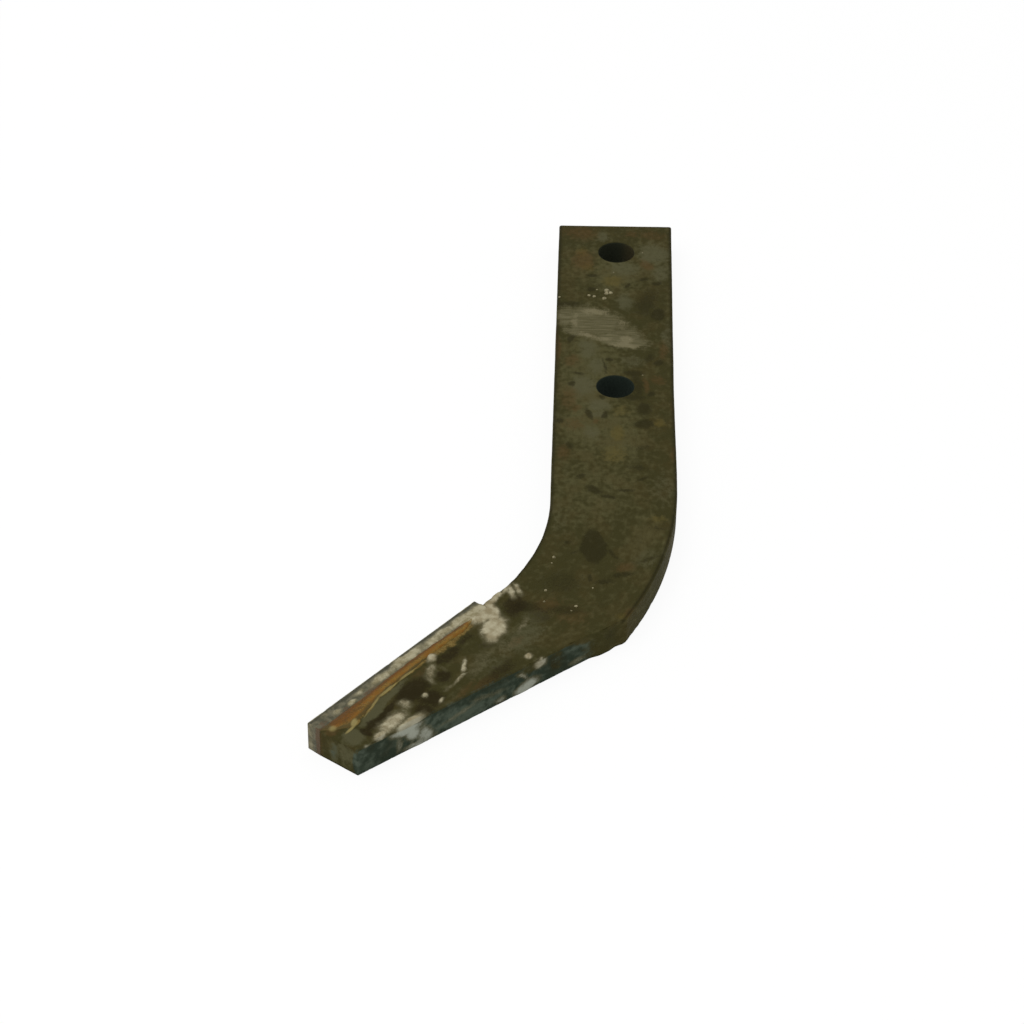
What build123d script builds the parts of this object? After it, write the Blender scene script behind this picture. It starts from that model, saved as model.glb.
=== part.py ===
from build123d import *
import os
from math import cos, radians, sin, tan

# Rotary tiller blade. A flat steel bar is bent in its own plane near its lower end, and the arm
# below the bend is cut to a taper on its outer side. A square strip of hard wear metal is brazed
# into a seat that is milled along the arm's inner edge, where the blade meets the soil.
# Frame: millimetres, the underside at z = 0, +Z up through the thickness, +Y up the shank, and
# the origin midway between the two bolt holes.

# Flat bar
bar_width = 50.8
bar_thickness = 12.7
rolled_radius = 1.0

# Bolt holes, a little off the bar's middle towards its outer edge, and the sheared upper end,
# which is a little out of square
hole_diameter = 15.875
hole_spacing = 101.6
hole_offset = 0.55
hole_to_end = 21.35
end_skew_deg = 1.1

# Bend: its inner curve starts below the lower hole. The outer curve starts sooner and is flatter,
# because the bar draws narrower round the bend, and the edge swells a little just above it.
hole_to_bend = 78.65
bend_angle_deg = 39.1
inner_radius = 100.3
outer_lead = 10.35
outer_extra_radius = 27.4
swell = 0.7
swell_length = 75.0

# Wear strip: where it starts past the bend, and how far it stands out of the arm's inner edge
strip_length = 93.8
strip_width = 6.35
strip_start = 4.7
strip_stand = 3.5
strip_chamfer = 0.15

# Braze: the film in the seat, and the bead along the top of the joint
braze_film = 0.15
bead_height = 0.7
bead_width_tip = 5.2
bead_width_inner = 3.4
bead_end_gap = 6.0
bead_onto_strip = 0.4
bead_end_share = 0.25

# Tip: its width over strip and body, and how far the body's end leans back
tip_width = 24.1
tip_skew_deg = 4.3

# Tapered cut along the arm's outer side, and its ragged start at the elbow: a bulge, then a nick
taper_angle_deg = 11.6
bulge_start = 109.6
bulge_length = 12.2
bulge_height = 1.2
nick_offset = 0.55
ragged_run = 4.1
ragged_rise = 0.75

# The bar is drawn this much longer than the finished arm, and cutters reach past what they cut
overrun = 60.0

half_width = bar_width / 2
inner_x = -half_width - hole_offset
outer_x = half_width - hole_offset
half_spacing = hole_spacing / 2
bend_y = -half_spacing - hole_to_bend
outer_bend_y = bend_y + outer_lead
outer_radius = inner_radius + bar_width + outer_extra_radius
bend_angle = radians(bend_angle_deg)

# The arm's own plane: its origin is the end of the inner curve, local X runs to the tip, and
# local Y runs across the arm to its outer side
arm_origin = (
    inner_x - inner_radius * (1 - cos(bend_angle)),
    bend_y - inner_radius * sin(bend_angle),
    0,
)
arm_plane = Plane(
    origin=arm_origin, x_dir=(-sin(bend_angle), -cos(bend_angle), 0), z_dir=(0, 0, 1)
)

strip_end = strip_start + strip_length
strip_outer = -strip_stand
strip_inner = strip_outer + strip_width
seat_floor = strip_inner + braze_film
seat_shoulder = strip_start - braze_film

# Limits past the drawn bar, for cutters in the arm's plane
past_arm = strip_end + 2 * overrun
past_side = bar_width + overrun

# Outer corner of the tip, in the arm's plane
tip_corner_out = tip_width - strip_stand
tip_corner_along = strip_end - (tip_corner_out - seat_floor) * tan(radians(tip_skew_deg))
tip_corner = Vector(tip_corner_along, tip_corner_out)

# The taper's own directions, in the arm's plane: up the cut to the elbow, and out of the arm
taper_angle = radians(taper_angle_deg)
cut_up = Vector(-cos(taper_angle), sin(taper_angle))
cut_out = Vector(sin(taper_angle), cos(taper_angle))


def cut_point(up, out):
    """Point in the arm's plane at a distance up the cut from the tip and out of its line."""
    return tip_corner + cut_up * up + cut_out * out


def crosses_at(edge, middle):
    """Whether an edge runs across the bar at one of its ends, seen from above."""
    centre = edge.center()
    return (Vector(centre.X, centre.Y) - middle).length < half_width / 2


def bent_bar():
    """Flat bar bent in its own plane, longer than the arm, with its rolled corners rounded."""
    slope = half_width * tan(radians(end_skew_deg))
    end_y = half_spacing + hole_to_end
    arm_run = strip_end + overrun
    inner_shank = Line((inner_x, end_y - slope), (inner_x, bend_y))
    inner_bend = JernArc(inner_shank @ 1, (0, -1), inner_radius, -bend_angle_deg)
    inner_arm = Line(inner_bend @ 1, inner_bend @ 1 + (inner_bend % 1) * arm_run)
    swell_top = (outer_x, outer_bend_y + swell_length)
    outer_shank = Line((outer_x, end_y + slope), swell_top)
    outer_swell = Spline(swell_top, (outer_x + swell, outer_bend_y), tangents=[(0, -1), (0, -1)])
    outer_bend = JernArc(outer_swell @ 1, (0, -1), outer_radius, -bend_angle_deg)
    outer_arm = Line(outer_bend @ 1, outer_bend @ 1 + (outer_bend % 1) * arm_run)
    upper_end = Line(inner_shank @ 0, outer_shank @ 0)
    lower_end = Line(inner_arm @ 1, outer_arm @ 1)
    inner_edge = [inner_shank, inner_bend, inner_arm]
    outer_edge = [outer_shank, outer_swell, outer_bend, outer_arm]
    outline = make_face([upper_end, lower_end] + inner_edge + outer_edge)
    bar = extrude(outline, bar_thickness)
    rolled = [
        edge
        for edge in bar.edges().filter_by(Axis.Z, reverse=True)
        if not crosses_at(edge, upper_end @ 0.5) and not crosses_at(edge, lower_end @ 0.5)
    ]
    return fillet(rolled, rolled_radius)


def bolt_holes():
    """Two holes through the shank, as cutters that reach past both faces."""
    hole = Cylinder(hole_diameter / 2, bar_thickness + overrun)
    return [Pos(0, half_spacing, 0) * hole, Pos(0, -half_spacing, 0) * hole]


def arm_prism(points):
    """Upright prism, as deep as the bar, on straight runs given in the arm's plane."""
    return extrude(arm_plane * make_face(Polyline(*points, close=True)), bar_thickness)


def seat_cutter():
    """Seat of the strip: open to the inner side and past the tip, with a shoulder at the bend."""
    side = strip_outer - overrun
    return arm_prism(
        [
            (seat_shoulder, side),
            (past_arm, side),
            (past_arm, seat_floor),
            (seat_shoulder, seat_floor),
        ]
    )


def tip_cutter():
    """What lies past the tip: the body's end starts flush with the strip and leans back."""
    side = strip_outer - overrun
    lean_back = (past_side - seat_floor) * tan(radians(tip_skew_deg))
    return arm_prism(
        [
            (strip_end, side),
            (strip_end, seat_floor),
            (strip_end - lean_back, past_side),
            (past_arm, past_side),
            (past_arm, side),
        ]
    )


def taper_cutter():
    """What the tapered cut takes off, with the bulge and the nick at its start."""
    bulge_end = bulge_start + bulge_length
    ragged_top = cut_point(bulge_end + ragged_run, nick_offset + ragged_rise)
    onward = (ragged_top - cut_point(bulge_end, nick_offset)).normalized() * overrun
    straight = Line(cut_point(-overrun, 0), cut_point(bulge_start, 0))
    bulge = ThreePointArc(
        straight @ 1,
        cut_point(bulge_start + bulge_length / 2, bulge_height),
        cut_point(bulge_end, nick_offset),
    )
    ragged = Line(bulge @ 1, ragged_top + onward)
    outside = Polyline(
        ragged @ 1,
        cut_point(bulge_end + overrun, past_side),
        cut_point(-overrun, past_side),
        straight @ 0,
    )
    face = make_face([straight, bulge, ragged] + outside.edges())
    return extrude(arm_plane * face, bar_thickness)


def blade_body():
    """The bent bar with its holes, seat, squared tip and tapered cut."""
    body = bent_bar() - bolt_holes()
    return body - seat_cutter() - tip_cutter() - taper_cutter()


def edge_strip():
    """Hard-metal strip as deep as the bar, with its four long edges broken by a chamfer."""
    corner = Box(strip_length, strip_width, bar_thickness, align=(Align.MIN, Align.MIN, Align.MIN))
    long_edges = corner.edges().filter_by(Axis.X)
    return arm_plane * Pos(strip_start, strip_outer, 0) * chamfer(long_edges, strip_chamfer)


def bead_section(along, width, height):
    """Cross-section of the bead: a flat base on the bar and a low round crown."""
    base = Plane(
        origin=arm_plane.from_local_coords(
            (along, strip_inner - bead_onto_strip, bar_thickness)
        ),
        x_dir=arm_plane.y_dir,
        z_dir=arm_plane.x_dir,
    )
    floor = Line((0, 0), (width, 0))
    crown = ThreePointArc((0, 0), (width / 2, height), (width, 0))
    return base * make_face([floor, crown])


def braze_seam():
    """Film of braze in the seat, and the bead that runs along the top of the joint."""
    film = arm_prism(
        [
            (seat_shoulder, 0),
            (strip_start, 0),
            (strip_start, strip_inner),
            (strip_end, strip_inner),
            (strip_end, seat_floor),
            (seat_shoulder, seat_floor),
        ]
    )
    first = strip_start + bead_end_gap
    last = strip_end - bead_end_gap / 2
    bead = loft(
        [
            bead_section(first, bead_width_inner * bead_end_share, bead_height * bead_end_share),
            bead_section(first + bead_end_gap, bead_width_inner, bead_height),
            bead_section((first + last) / 2, (bead_width_inner + bead_width_tip) / 2, bead_height),
            bead_section(last - bead_end_gap, bead_width_tip, bead_height),
            bead_section(last, bead_width_tip * bead_end_share, bead_height * bead_end_share),
        ],
        ruled=True,
    )
    return film + bead


nodes = {"blade_body": blade_body(), "edge_strip": edge_strip(), "braze_seam": braze_seam()}

os.makedirs("parts", exist_ok=True)
for name, shape in nodes.items():
    shape.label = name
    export_step(shape, f"parts/{name}.step")
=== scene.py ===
from math import cos, radians, sin, tan

import bpy
import numpy as np
from bpy.props import FloatProperty, FloatVectorProperty, PointerProperty
from bpy.types import Operator, Panel, PropertyGroup
from mathutils import Matrix, Vector


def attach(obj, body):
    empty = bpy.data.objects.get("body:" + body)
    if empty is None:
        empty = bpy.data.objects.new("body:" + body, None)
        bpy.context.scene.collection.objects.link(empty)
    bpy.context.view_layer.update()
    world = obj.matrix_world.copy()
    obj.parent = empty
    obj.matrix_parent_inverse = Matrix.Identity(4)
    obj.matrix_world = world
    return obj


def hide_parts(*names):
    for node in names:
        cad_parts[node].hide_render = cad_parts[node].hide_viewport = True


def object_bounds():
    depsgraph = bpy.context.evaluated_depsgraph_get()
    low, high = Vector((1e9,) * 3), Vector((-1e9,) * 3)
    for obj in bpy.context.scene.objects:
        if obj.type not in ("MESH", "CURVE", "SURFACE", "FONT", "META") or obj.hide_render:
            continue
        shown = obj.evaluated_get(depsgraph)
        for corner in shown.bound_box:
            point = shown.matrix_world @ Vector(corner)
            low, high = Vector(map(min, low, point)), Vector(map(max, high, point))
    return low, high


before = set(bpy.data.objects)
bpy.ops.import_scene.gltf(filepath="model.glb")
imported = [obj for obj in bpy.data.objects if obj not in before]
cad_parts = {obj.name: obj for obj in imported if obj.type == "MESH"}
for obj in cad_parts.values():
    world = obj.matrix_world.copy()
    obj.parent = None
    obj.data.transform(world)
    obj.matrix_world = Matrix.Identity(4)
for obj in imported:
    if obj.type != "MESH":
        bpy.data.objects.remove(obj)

bl_info = {
    "name": "Rotary Tiller Blade",
    "version": (1, 0, 0),
    "blender": (4, 5, 0),
    "location": "3D View > Sidebar > Blade",
    "description": "Finish of a bent tiller blade with a brazed wear strip",
    "category": "Object",
}

CAD_BOX = [list(corner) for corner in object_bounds()]

# Lengths below are in millimetres unless said otherwise. The blade lies with its underside at
# z = 0, its shank along Y, and the origin midway between the bolt holes.
MM = 0.001

# Flat bar, holes and bend
BAR_WIDTH = 50.8
BAR_THICKNESS = 12.7
ROLLED_RADIUS = 1.0
HOLE_RADIUS = 15.875 / 2
HALF_SPACING = 101.6 / 2
HOLE_OFFSET = 0.55
HOLE_TO_END = 21.35
END_SKEW = radians(1.1)
HOLE_TO_BEND = 78.65
BEND = radians(39.1)
INNER_RADIUS = 100.3
OUTER_LEAD = 10.35
OUTER_EXTRA_RADIUS = 27.4
SWELL = 0.7
SWELL_LENGTH = 75.0

# Wear strip and its seat
STRIP_START = 4.7
STRIP_LENGTH = 93.8
STRIP_WIDTH = 6.35
STRIP_STAND = 3.5
STRIP_CHAMFER = 0.15
BRAZE_FILM = 0.15

# Tip and tapered cut, with the bulge and the nick at its start
TIP_WIDTH = 24.1
TIP_SKEW = radians(4.3)
TAPER = radians(11.6)
BULGE_START = 109.6
BULGE_LENGTH = 12.2
BULGE_HEIGHT = 1.2
NICK_OFFSET = 0.55
RAGGED_RUN = 4.1
RAGGED_RISE = 0.75

# Places worked out from these
INNER_X = -BAR_WIDTH / 2 - HOLE_OFFSET
OUTER_X = BAR_WIDTH / 2 - HOLE_OFFSET
END_Y = HALF_SPACING + HOLE_TO_END
BEND_Y = -HALF_SPACING - HOLE_TO_BEND
OUTER_BEND_Y = BEND_Y + OUTER_LEAD
OUTER_RADIUS = INNER_RADIUS + BAR_WIDTH + OUTER_EXTRA_RADIUS
INNER_CENTRE = np.array([INNER_X - INNER_RADIUS, BEND_Y])
OUTER_CENTRE = np.array([OUTER_X + SWELL - OUTER_RADIUS, OUTER_BEND_Y])
SHANK_RUN = END_Y - BEND_Y
BEND_RUN = INNER_RADIUS * BEND
ARM_RUN = SHANK_RUN + BEND_RUN
ALONG = np.array([-sin(BEND), -cos(BEND)])
OUT = np.array([cos(BEND), -sin(BEND)])
ARM_ORIGIN = INNER_CENTRE + INNER_RADIUS * OUT
STRIP_END = STRIP_START + STRIP_LENGTH
STRIP_INNER = STRIP_WIDTH - STRIP_STAND
SEAT_FLOOR = STRIP_INNER + BRAZE_FILM
SEAT_SHOULDER = STRIP_START - BRAZE_FILM
TIP_OUT = TIP_WIDTH - STRIP_STAND
TIP_ALONG = STRIP_END - (TIP_OUT - SEAT_FLOOR) * tan(TIP_SKEW)
TIP_CORNER = ARM_ORIGIN + TIP_ALONG * ALONG + TIP_OUT * OUT
CUT_UP = -cos(TAPER) * ALONG + sin(TAPER) * OUT
CUT_OUT = sin(TAPER) * ALONG + cos(TAPER) * OUT

# Box that the made skins stay inside: the drawn blade's own, a little lower at its top
TOP_GAP = 0.02
BOX_LOW = np.array(CAD_BOX[0]) / MM
BOX_HIGH = np.array(CAD_BOX[1]) / MM - np.array([0, 0, TOP_GAP])

# Mesh of the bar: length of a cell, cells across and through, rows close to the long edges and to
# the ends, and the step between the two rows at the seat's shoulder
CELL = 0.85
CELLS_ACROSS = 58
CELLS_THROUGH = 11
EDGE_ROWS = np.array([0.0, 0.25, 0.5, 0.8, 1.2])
END_ROWS = np.array([0.0, 0.02, 0.07, 0.15, 0.25])
SHOULDER_STEP = 0.02

# How closely the elbow's corner and the cut's width are worked out
ELBOW_TRIALS = 4000
SETTLE_STEPS = 16

# Radii of the edges that aren't rolled, and the length over which an end's slant fades away
CUT_RADIUS = 0.25
SEAT_RADIUS = 0.12
END_RADIUS = 0.25
TILT_FADE = 35.0

# Holes: segments round, rings inside, rings by a face as depths below it, and the flare there
HOLE_SEGMENTS = 72
HOLE_RINGS = 12
FACE_RINGS = np.array([-2.0, -0.1, 0.2, 0.5])
HOLE_FLARE = 0.35

# Mesh of the strip: cells across, rows to its middle, and how far its ends are rounded
STRIP_CELLS = 6
STRIP_ROWS = 78
STRIP_END_RADIUS = 0.12

# Mesh of the braze: first step and rows along the joint, steps over the bead's crown, and how far
# the ends of the crown and its foot are sunk
SEAM_STEP = 0.05
SEAM_ROWS = 190
CROWN_STEPS = 15
CROWN_SINK = 0.25
FOOT_SINK = 0.3

# Drop of flux: rings, sides and points, how far its rim is sunk and its foot lies below the rim,
# its greatest height, and its height over its radius
DROP_RINGS = 4
DROP_SIDES = 12
DROP_POINTS = (DROP_RINGS + 1) * DROP_SIDES + 2
RIM_SINK = 0.05
DROP_SINK = 0.4
DROP_HEIGHT = 0.6
DROP_SHARE = 0.55

# Edges that turn by more than this stay sharp
SHARP_ANGLE = radians(50)


def tone(red, green, blue):
    """Linear colour, with alpha 1, of a tone from 0 to 255 on the screen, by the sRGB curve."""
    share = np.array([red, green, blue]) / 255
    linear = np.where(share <= 0.04045, share / 12.92, ((share + 0.055) / 1.055) ** 2.4)
    return tuple(float(part) for part in linear) + (1.0,)


def smooth(value, low, high):
    """0 below low, 1 above high, and between them the smoothstep 3 t^2 - 2 t^3."""
    share = np.clip((value - low) / (high - low), 0, 1)
    return share * share * (3 - 2 * share)


def corner_values(cells, seed):
    """Even random value from 0 to 1 for each whole-number cell, by mixing the bits of its numbers."""
    parts = cells.astype(np.int64).astype(np.uint32)
    mixed = parts[:, 0] * np.uint32(374761393) + parts[:, 1] * np.uint32(668265263)
    mixed = mixed + parts[:, 2] * np.uint32(2246822519) + np.uint32(seed * 7919 + 101)
    mixed = (mixed ^ (mixed >> np.uint32(13))) * np.uint32(1274126177)
    mixed = (mixed ^ (mixed >> np.uint32(15))) * np.uint32(2654435761)
    return ((mixed ^ (mixed >> np.uint32(16))) & np.uint32(0xFFFFFF)) / float(0xFFFFFF)


def noise(points, size, seed):
    """Value noise from 0 to 1: the random values at the eight corners of each cell of that size,
    blended with smoothstep weights."""
    scaled = points / size
    low = np.floor(scaled)
    share = scaled - low
    share = share * share * (3 - 2 * share)
    total = np.zeros(len(points))
    for corner in np.ndindex(2, 2, 2):
        step = np.array(corner)
        weight = np.prod(np.where(step == 1, share, 1 - share), axis=1)
        total = total + weight * corner_values(low + step, seed)
    return total


def cloud(points, size, seed, octaves=3):
    """Sum of value noises, each of half the size and half the weight of the last, from 0 to 1."""
    total = np.zeros(len(points))
    weight = 0.0
    for octave in range(octaves):
        share = 0.5**octave
        total = total + share * noise(points, size * share, seed + octave)
        weight = weight + share
    return total / weight


def plan(along, out):
    """Plan point at a distance along the arm and out of its inner edge."""
    return ARM_ORIGIN + np.multiply.outer(along, ALONG) + np.multiply.outer(out, OUT)


def arm_places(points):
    """Distance along the arm and out of its inner edge, for points in plan."""
    away = points[:, :2] - ARM_ORIGIN
    return away @ ALONG, away @ OUT


def cut_places(points):
    """Distance up the tapered cut from the tip, and out of its line, for points in plan."""
    away = points[:, :2] - TIP_CORNER
    return away @ CUT_UP, away @ CUT_OUT


def bar_places(points):
    """Run down the bar's inner edge, distance out of that edge, and height. On the shank the run
    is measured down Y, in the bend it is the inner radius times the angle turned, and on the arm
    it is measured along the arm."""
    away = points[:, :2] - INNER_CENTRE
    turn = np.arctan2(-away[:, 1], away[:, 0])
    along, out_of_arm = arm_places(points)
    run = SHANK_RUN + INNER_RADIUS * np.clip(turn, 0, BEND)
    out = np.hypot(away[:, 0], away[:, 1]) - INNER_RADIUS
    shank = away[:, 1] > 0
    run = np.where(shank, END_Y - points[:, 1], run)
    out = np.where(shank, points[:, 0] - INNER_X, out)
    arm = (~shank) & (turn > BEND)
    run = np.where(arm, ARM_RUN + along, run)
    out = np.where(arm, out_of_arm, out)
    return np.column_stack([run, out, points[:, 2]])


def bar_rays(run):
    """Foot on the bar's inner edge, and unit directions across the bar and down it, at each run."""
    turn = np.clip((run - SHANK_RUN) / INNER_RADIUS, 0, BEND)
    ray = np.column_stack([np.cos(turn), -np.sin(turn)])
    down = np.column_stack([-np.sin(turn), -np.cos(turn)])
    foot = INNER_CENTRE + INNER_RADIUS * ray
    foot = foot - np.minimum(run - SHANK_RUN, 0)[:, None] * np.array([0, 1])
    foot = foot + np.maximum(run - ARM_RUN, 0)[:, None] * ALONG
    return foot, ray, down


def cut_profile(up):
    """Height of the cut's edge out of its straight line: none up to the bulge, then a parabola
    through its two ends and its top, then a straight ragged rise."""
    share = (up - BULGE_START) / BULGE_LENGTH
    arch = 4 * (BULGE_HEIGHT - NICK_OFFSET / 2)
    bulge = NICK_OFFSET * share + arch * share * (1 - share)
    ragged = NICK_OFFSET + (up - BULGE_START - BULGE_LENGTH) * RAGGED_RISE / RAGGED_RUN
    return np.where(share < 0, 0, np.where(share < 1, bulge, ragged))


def tilt(run, out):
    """Slip of a point down the bar where its two ends are cut out of square: the slope of the cut
    times the distance across, fading to nothing away from the end."""
    upper = smooth(run, TILT_FADE, 0.0)
    lower = smooth(run, ARM_RUN + STRIP_END - TILT_FADE, ARM_RUN + STRIP_END)
    slip = -upper * tan(END_SKEW) * (out - BAR_WIDTH / 2)
    return slip - lower * tan(TIP_SKEW) * np.maximum(out - SEAT_FLOOR, 0)


def curve_width(run):
    """Width from the inner edge to the drawn bar's outer edge: the straight side with its swell,
    then the ray's crossing with the outer circle."""
    foot, ray, _ = bar_rays(run)
    level = END_Y - run
    swell = SWELL * smooth(level, OUTER_BEND_Y + SWELL_LENGTH, OUTER_BEND_Y)
    away = foot - OUTER_CENTRE
    half = np.sum(ray * away, axis=1)
    inside = half * half - np.sum(away * away, axis=1) + OUTER_RADIUS**2
    circle = -half + np.sqrt(np.maximum(inside, 0))
    return np.where(level > OUTER_BEND_Y, BAR_WIDTH + swell, circle)


def cut_width(run):
    """Width from the inner edge to the tapered cut: the ray's crossing with the cut's line, raised
    by its profile there, found by repeating the step until it settles."""
    foot, ray, down = bar_rays(run)
    width = np.full(len(run), float(TIP_OUT))
    for _ in range(SETTLE_STEPS):
        start = foot + tilt(run, width)[:, None] * down
        up = (start + width[:, None] * ray - TIP_CORNER) @ CUT_UP
        gap = cut_profile(up) - (start - TIP_CORNER) @ CUT_OUT
        width = gap / (ray @ CUT_OUT)
    return width


def bar_stations():
    """Runs down the bar at which the mesh has a row, and the run of the elbow's corner. Rows are
    close at both ends, even between them, and lie exactly at the elbow's corner and on both sides
    of the seat's shoulder."""
    trial = np.linspace(SHANK_RUN, ARM_RUN + STRIP_START, ELBOW_TRIALS)
    elbow = np.interp(0, curve_width(trial) - cut_width(trial), trial)
    shoulder = ARM_RUN + SEAT_SHOULDER
    tip = ARM_RUN + STRIP_END
    marks = [END_ROWS[-1], elbow, shoulder, tip - END_ROWS[-1]]
    rows = [END_ROWS]
    for start, end in zip(marks[:-1], marks[1:]):
        count = int(np.ceil((end - start) / CELL))
        rows.append(np.linspace(start, end, count + 1)[1:])
    rows.append(tip - END_ROWS[::-1][1:])
    rows.append([shoulder + SHOULDER_STEP])
    return np.sort(np.concatenate(rows)), elbow


def skin_of(shape):
    """Lattice places of the points on a block's skin, and the outward quads between them."""
    skin = np.ones(shape, bool)
    skin[1:-1, 1:-1, 1:-1] = False
    ids = np.full(shape, -1)
    ids[skin] = np.arange(skin.sum())
    quads = []
    for axis in range(3):
        low = np.take(ids, 0, axis)
        high = np.take(ids, -1, axis)
        inward = axis == 1
        for plane, turned in ((high, inward), (low, not inward)):
            sides = [plane[:-1, :-1], plane[1:, :-1], plane[1:, 1:], plane[:-1, 1:]]
            square = np.stack(sides, -1).reshape(-1, 4)
            quads.append(square[:, ::-1] if turned else square)
    return np.nonzero(skin), np.concatenate(quads)


def spread(width, cells):
    """Distances from 0 to each width: the edge rows at both sides and even cells between them."""
    near = np.broadcast_to(EDGE_ROWS, (len(width), len(EDGE_ROWS)))
    share = np.linspace(0, 1, cells + 1)[1:-1]
    last = EDGE_ROWS[-1]
    middle = last + share * (width[:, None] - 2 * last)
    return np.hstack([near, middle, width[:, None] - near[:, ::-1]])


def rounded(across, up, width, height, radius):
    """Section of a block with rounded corners. A point in a corner's square goes to the like place
    in the circle about the square's inner corner. Returns it and its outward direction."""
    mid_across = np.clip(across, radius, width - radius)
    mid_up = np.clip(up, radius, height - radius)
    off_across = across - mid_across
    off_up = up - mid_up
    length = np.hypot(off_across, off_up)
    reach = np.maximum(np.abs(off_across), np.abs(off_up))
    safe = np.where(length > 1e-9, length, 1.0)
    turn_across = off_across / safe
    turn_up = off_up / safe
    return mid_across + reach * turn_across, mid_up + reach * turn_up, turn_across, turn_up


def drawn_in(place, width, inset):
    """Place across a width whose two sides are drawn in by an inset."""
    return inset + place * (width - 2 * inset) / width


def cap_turn(row, rows):
    """Which way a row's points face along a block: -1 on its first row, 1 on its last, else 0."""
    return np.where(row == 0, -1.0, np.where(row == rows - 1, 1.0, 0.0))


def unit(directions):
    """Directions brought to length 1."""
    length = np.linalg.norm(directions, axis=1)
    return directions / np.maximum(length, 1e-9)[:, None]


def edge_share(normals):
    """Smaller of a direction's upright and level parts, which is above 0 only on rounded edges."""
    return np.minimum(np.abs(normals[:, 2]), np.hypot(normals[:, 0], normals[:, 1]))


def bar_skin():
    """Points and outward directions of the plain bar, and its quads. Each point is a place on a
    lattice: a row down the bar, a step across it and a step through its thickness. It lies at the
    row's foot, plus the distance across times the ray, plus the end's slip times the direction
    down. Near an end the section is drawn in by a quarter circle."""
    runs, elbow = bar_stations()
    foot, ray, down = bar_rays(runs)
    on_seat = runs > ARM_RUN + SEAT_SHOULDER + SHOULDER_STEP / 2
    inner = np.where(on_seat, SEAT_FLOOR, 0.0)
    outer = np.minimum(curve_width(runs), cut_width(runs))
    across = spread(outer - inner, CELLS_ACROSS)
    up = spread(np.array([BAR_THICKNESS]), CELLS_THROUGH)[0]
    (i, j, k), quads = skin_of((len(runs), across.shape[1], len(up)))
    width = (outer - inner)[i]
    from_end = np.minimum(runs - runs[0], runs[-1] - runs)
    near_end = np.clip(END_RADIUS - from_end, 0, END_RADIUS)
    inset = (END_RADIUS - np.sqrt(END_RADIUS**2 - near_end**2))[i]
    inner_radius = np.where(on_seat, SEAT_RADIUS, ROLLED_RADIUS)
    outer_radius = np.where(runs > elbow, CUT_RADIUS, ROLLED_RADIUS)
    radius = np.where(across[i, j] < width / 2, inner_radius[i], outer_radius[i])
    s, z, turn_s, turn_z = rounded(across[i, j], up[k], width, BAR_THICKNESS, radius)
    out = inner[i] + drawn_in(s, width, inset)
    place = foot[i] + out[:, None] * ray[i] + tilt(runs[i], out)[:, None] * down[i]
    points = np.column_stack([place, drawn_in(z, BAR_THICKNESS, inset)])
    normals = np.column_stack([turn_s[:, None] * ray[i], turn_z])
    normals[:, :2] += cap_turn(i, len(runs))[:, None] * down[i]
    return points, unit(normals), quads


def soft_patches(u, v, places):
    """Highest of several soft ellipses. Each has a middle, two half widths, a turn in degrees and a
    strength; it is 1 up to half its width, one half at its rim and 0 at one and a half."""
    best = np.zeros(len(u))
    for middle_u, middle_v, half_u, half_v, turn, strength in places:
        c = cos(radians(turn))
        s = sin(radians(turn))
        du = u - middle_u
        dv = v - middle_v
        distance = np.hypot((du * c + dv * s) / half_u, (dv * c - du * s) / half_v)
        best = np.maximum(best, strength * np.clip(1.5 - distance, 0, 1))
    return best


# Finish of the shank and elbow, seen from above: across from the bar's middle line, up Y, half
# widths, turn in degrees and strength
RUST_ON_SHANK = (
    (-16, 66, 8, 6, 0, 0.9),
    (-14, 44, 6, 8, 0, 1.0),
    (14, 41, 3.2, 4.5, 20, 1.0),
    (17, 65, 7, 4, 0, 0.75),
    (7, 66, 4, 2.5, 0, 0.8),
    (-24.6, -23, 1.2, 15, 0, 1.0),
    (-19, -60, 4, 9, 0, 0.8),
    (-16, -67, 3, 3, 0, 0.9),
    (-17, -78, 5, 5, 0, 0.7),
    (-6.5, -76.5, 1.6, 1.8, 0, 1.0),
    (13.8, -50, 1.4, 5, 5, 1.0),
    (19, -46, 4, 3, 0, 0.8),
    (21, -24, 2.5, 7, 0, 0.8),
    (-18, -33, 4, 5, 0, 0.8),
    (-20.5, -98, 3, 6, 0, 0.8),
    (24.5, -65, 0.9, 8, 0, 0.7),
    (24.6, -97, 0.9, 6, 0, 0.9),
    (5, -171, 5, 3.5, 25, 0.8),
    (7, -199, 3, 3, 0, 0.8),
    (-26, -196, 7, 4, 20, 0.8),
    (22, -176, 1.0, 14, -18, 0.7),
)
OCHRE_ON_SHANK = (
    (-1.5, 28, 4, 5, 0, 0.9),
    (-14.5, 50, 3, 5, 0, 0.8),
    (-12, 39, 3, 4, 0, 0.7),
    (1.5, -84, 3, 6, 0, 0.9),
    (0, -98, 6, 7, 0, 0.7),
    (19, -76, 2.5, 2.5, 0, 0.9),
    (3, -68, 4, 5, 0, 0.6),
    (4, -201, 3, 2, 0, 0.7),
    (18, -140, 4, 2.5, 0, 0.7),
)
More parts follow.
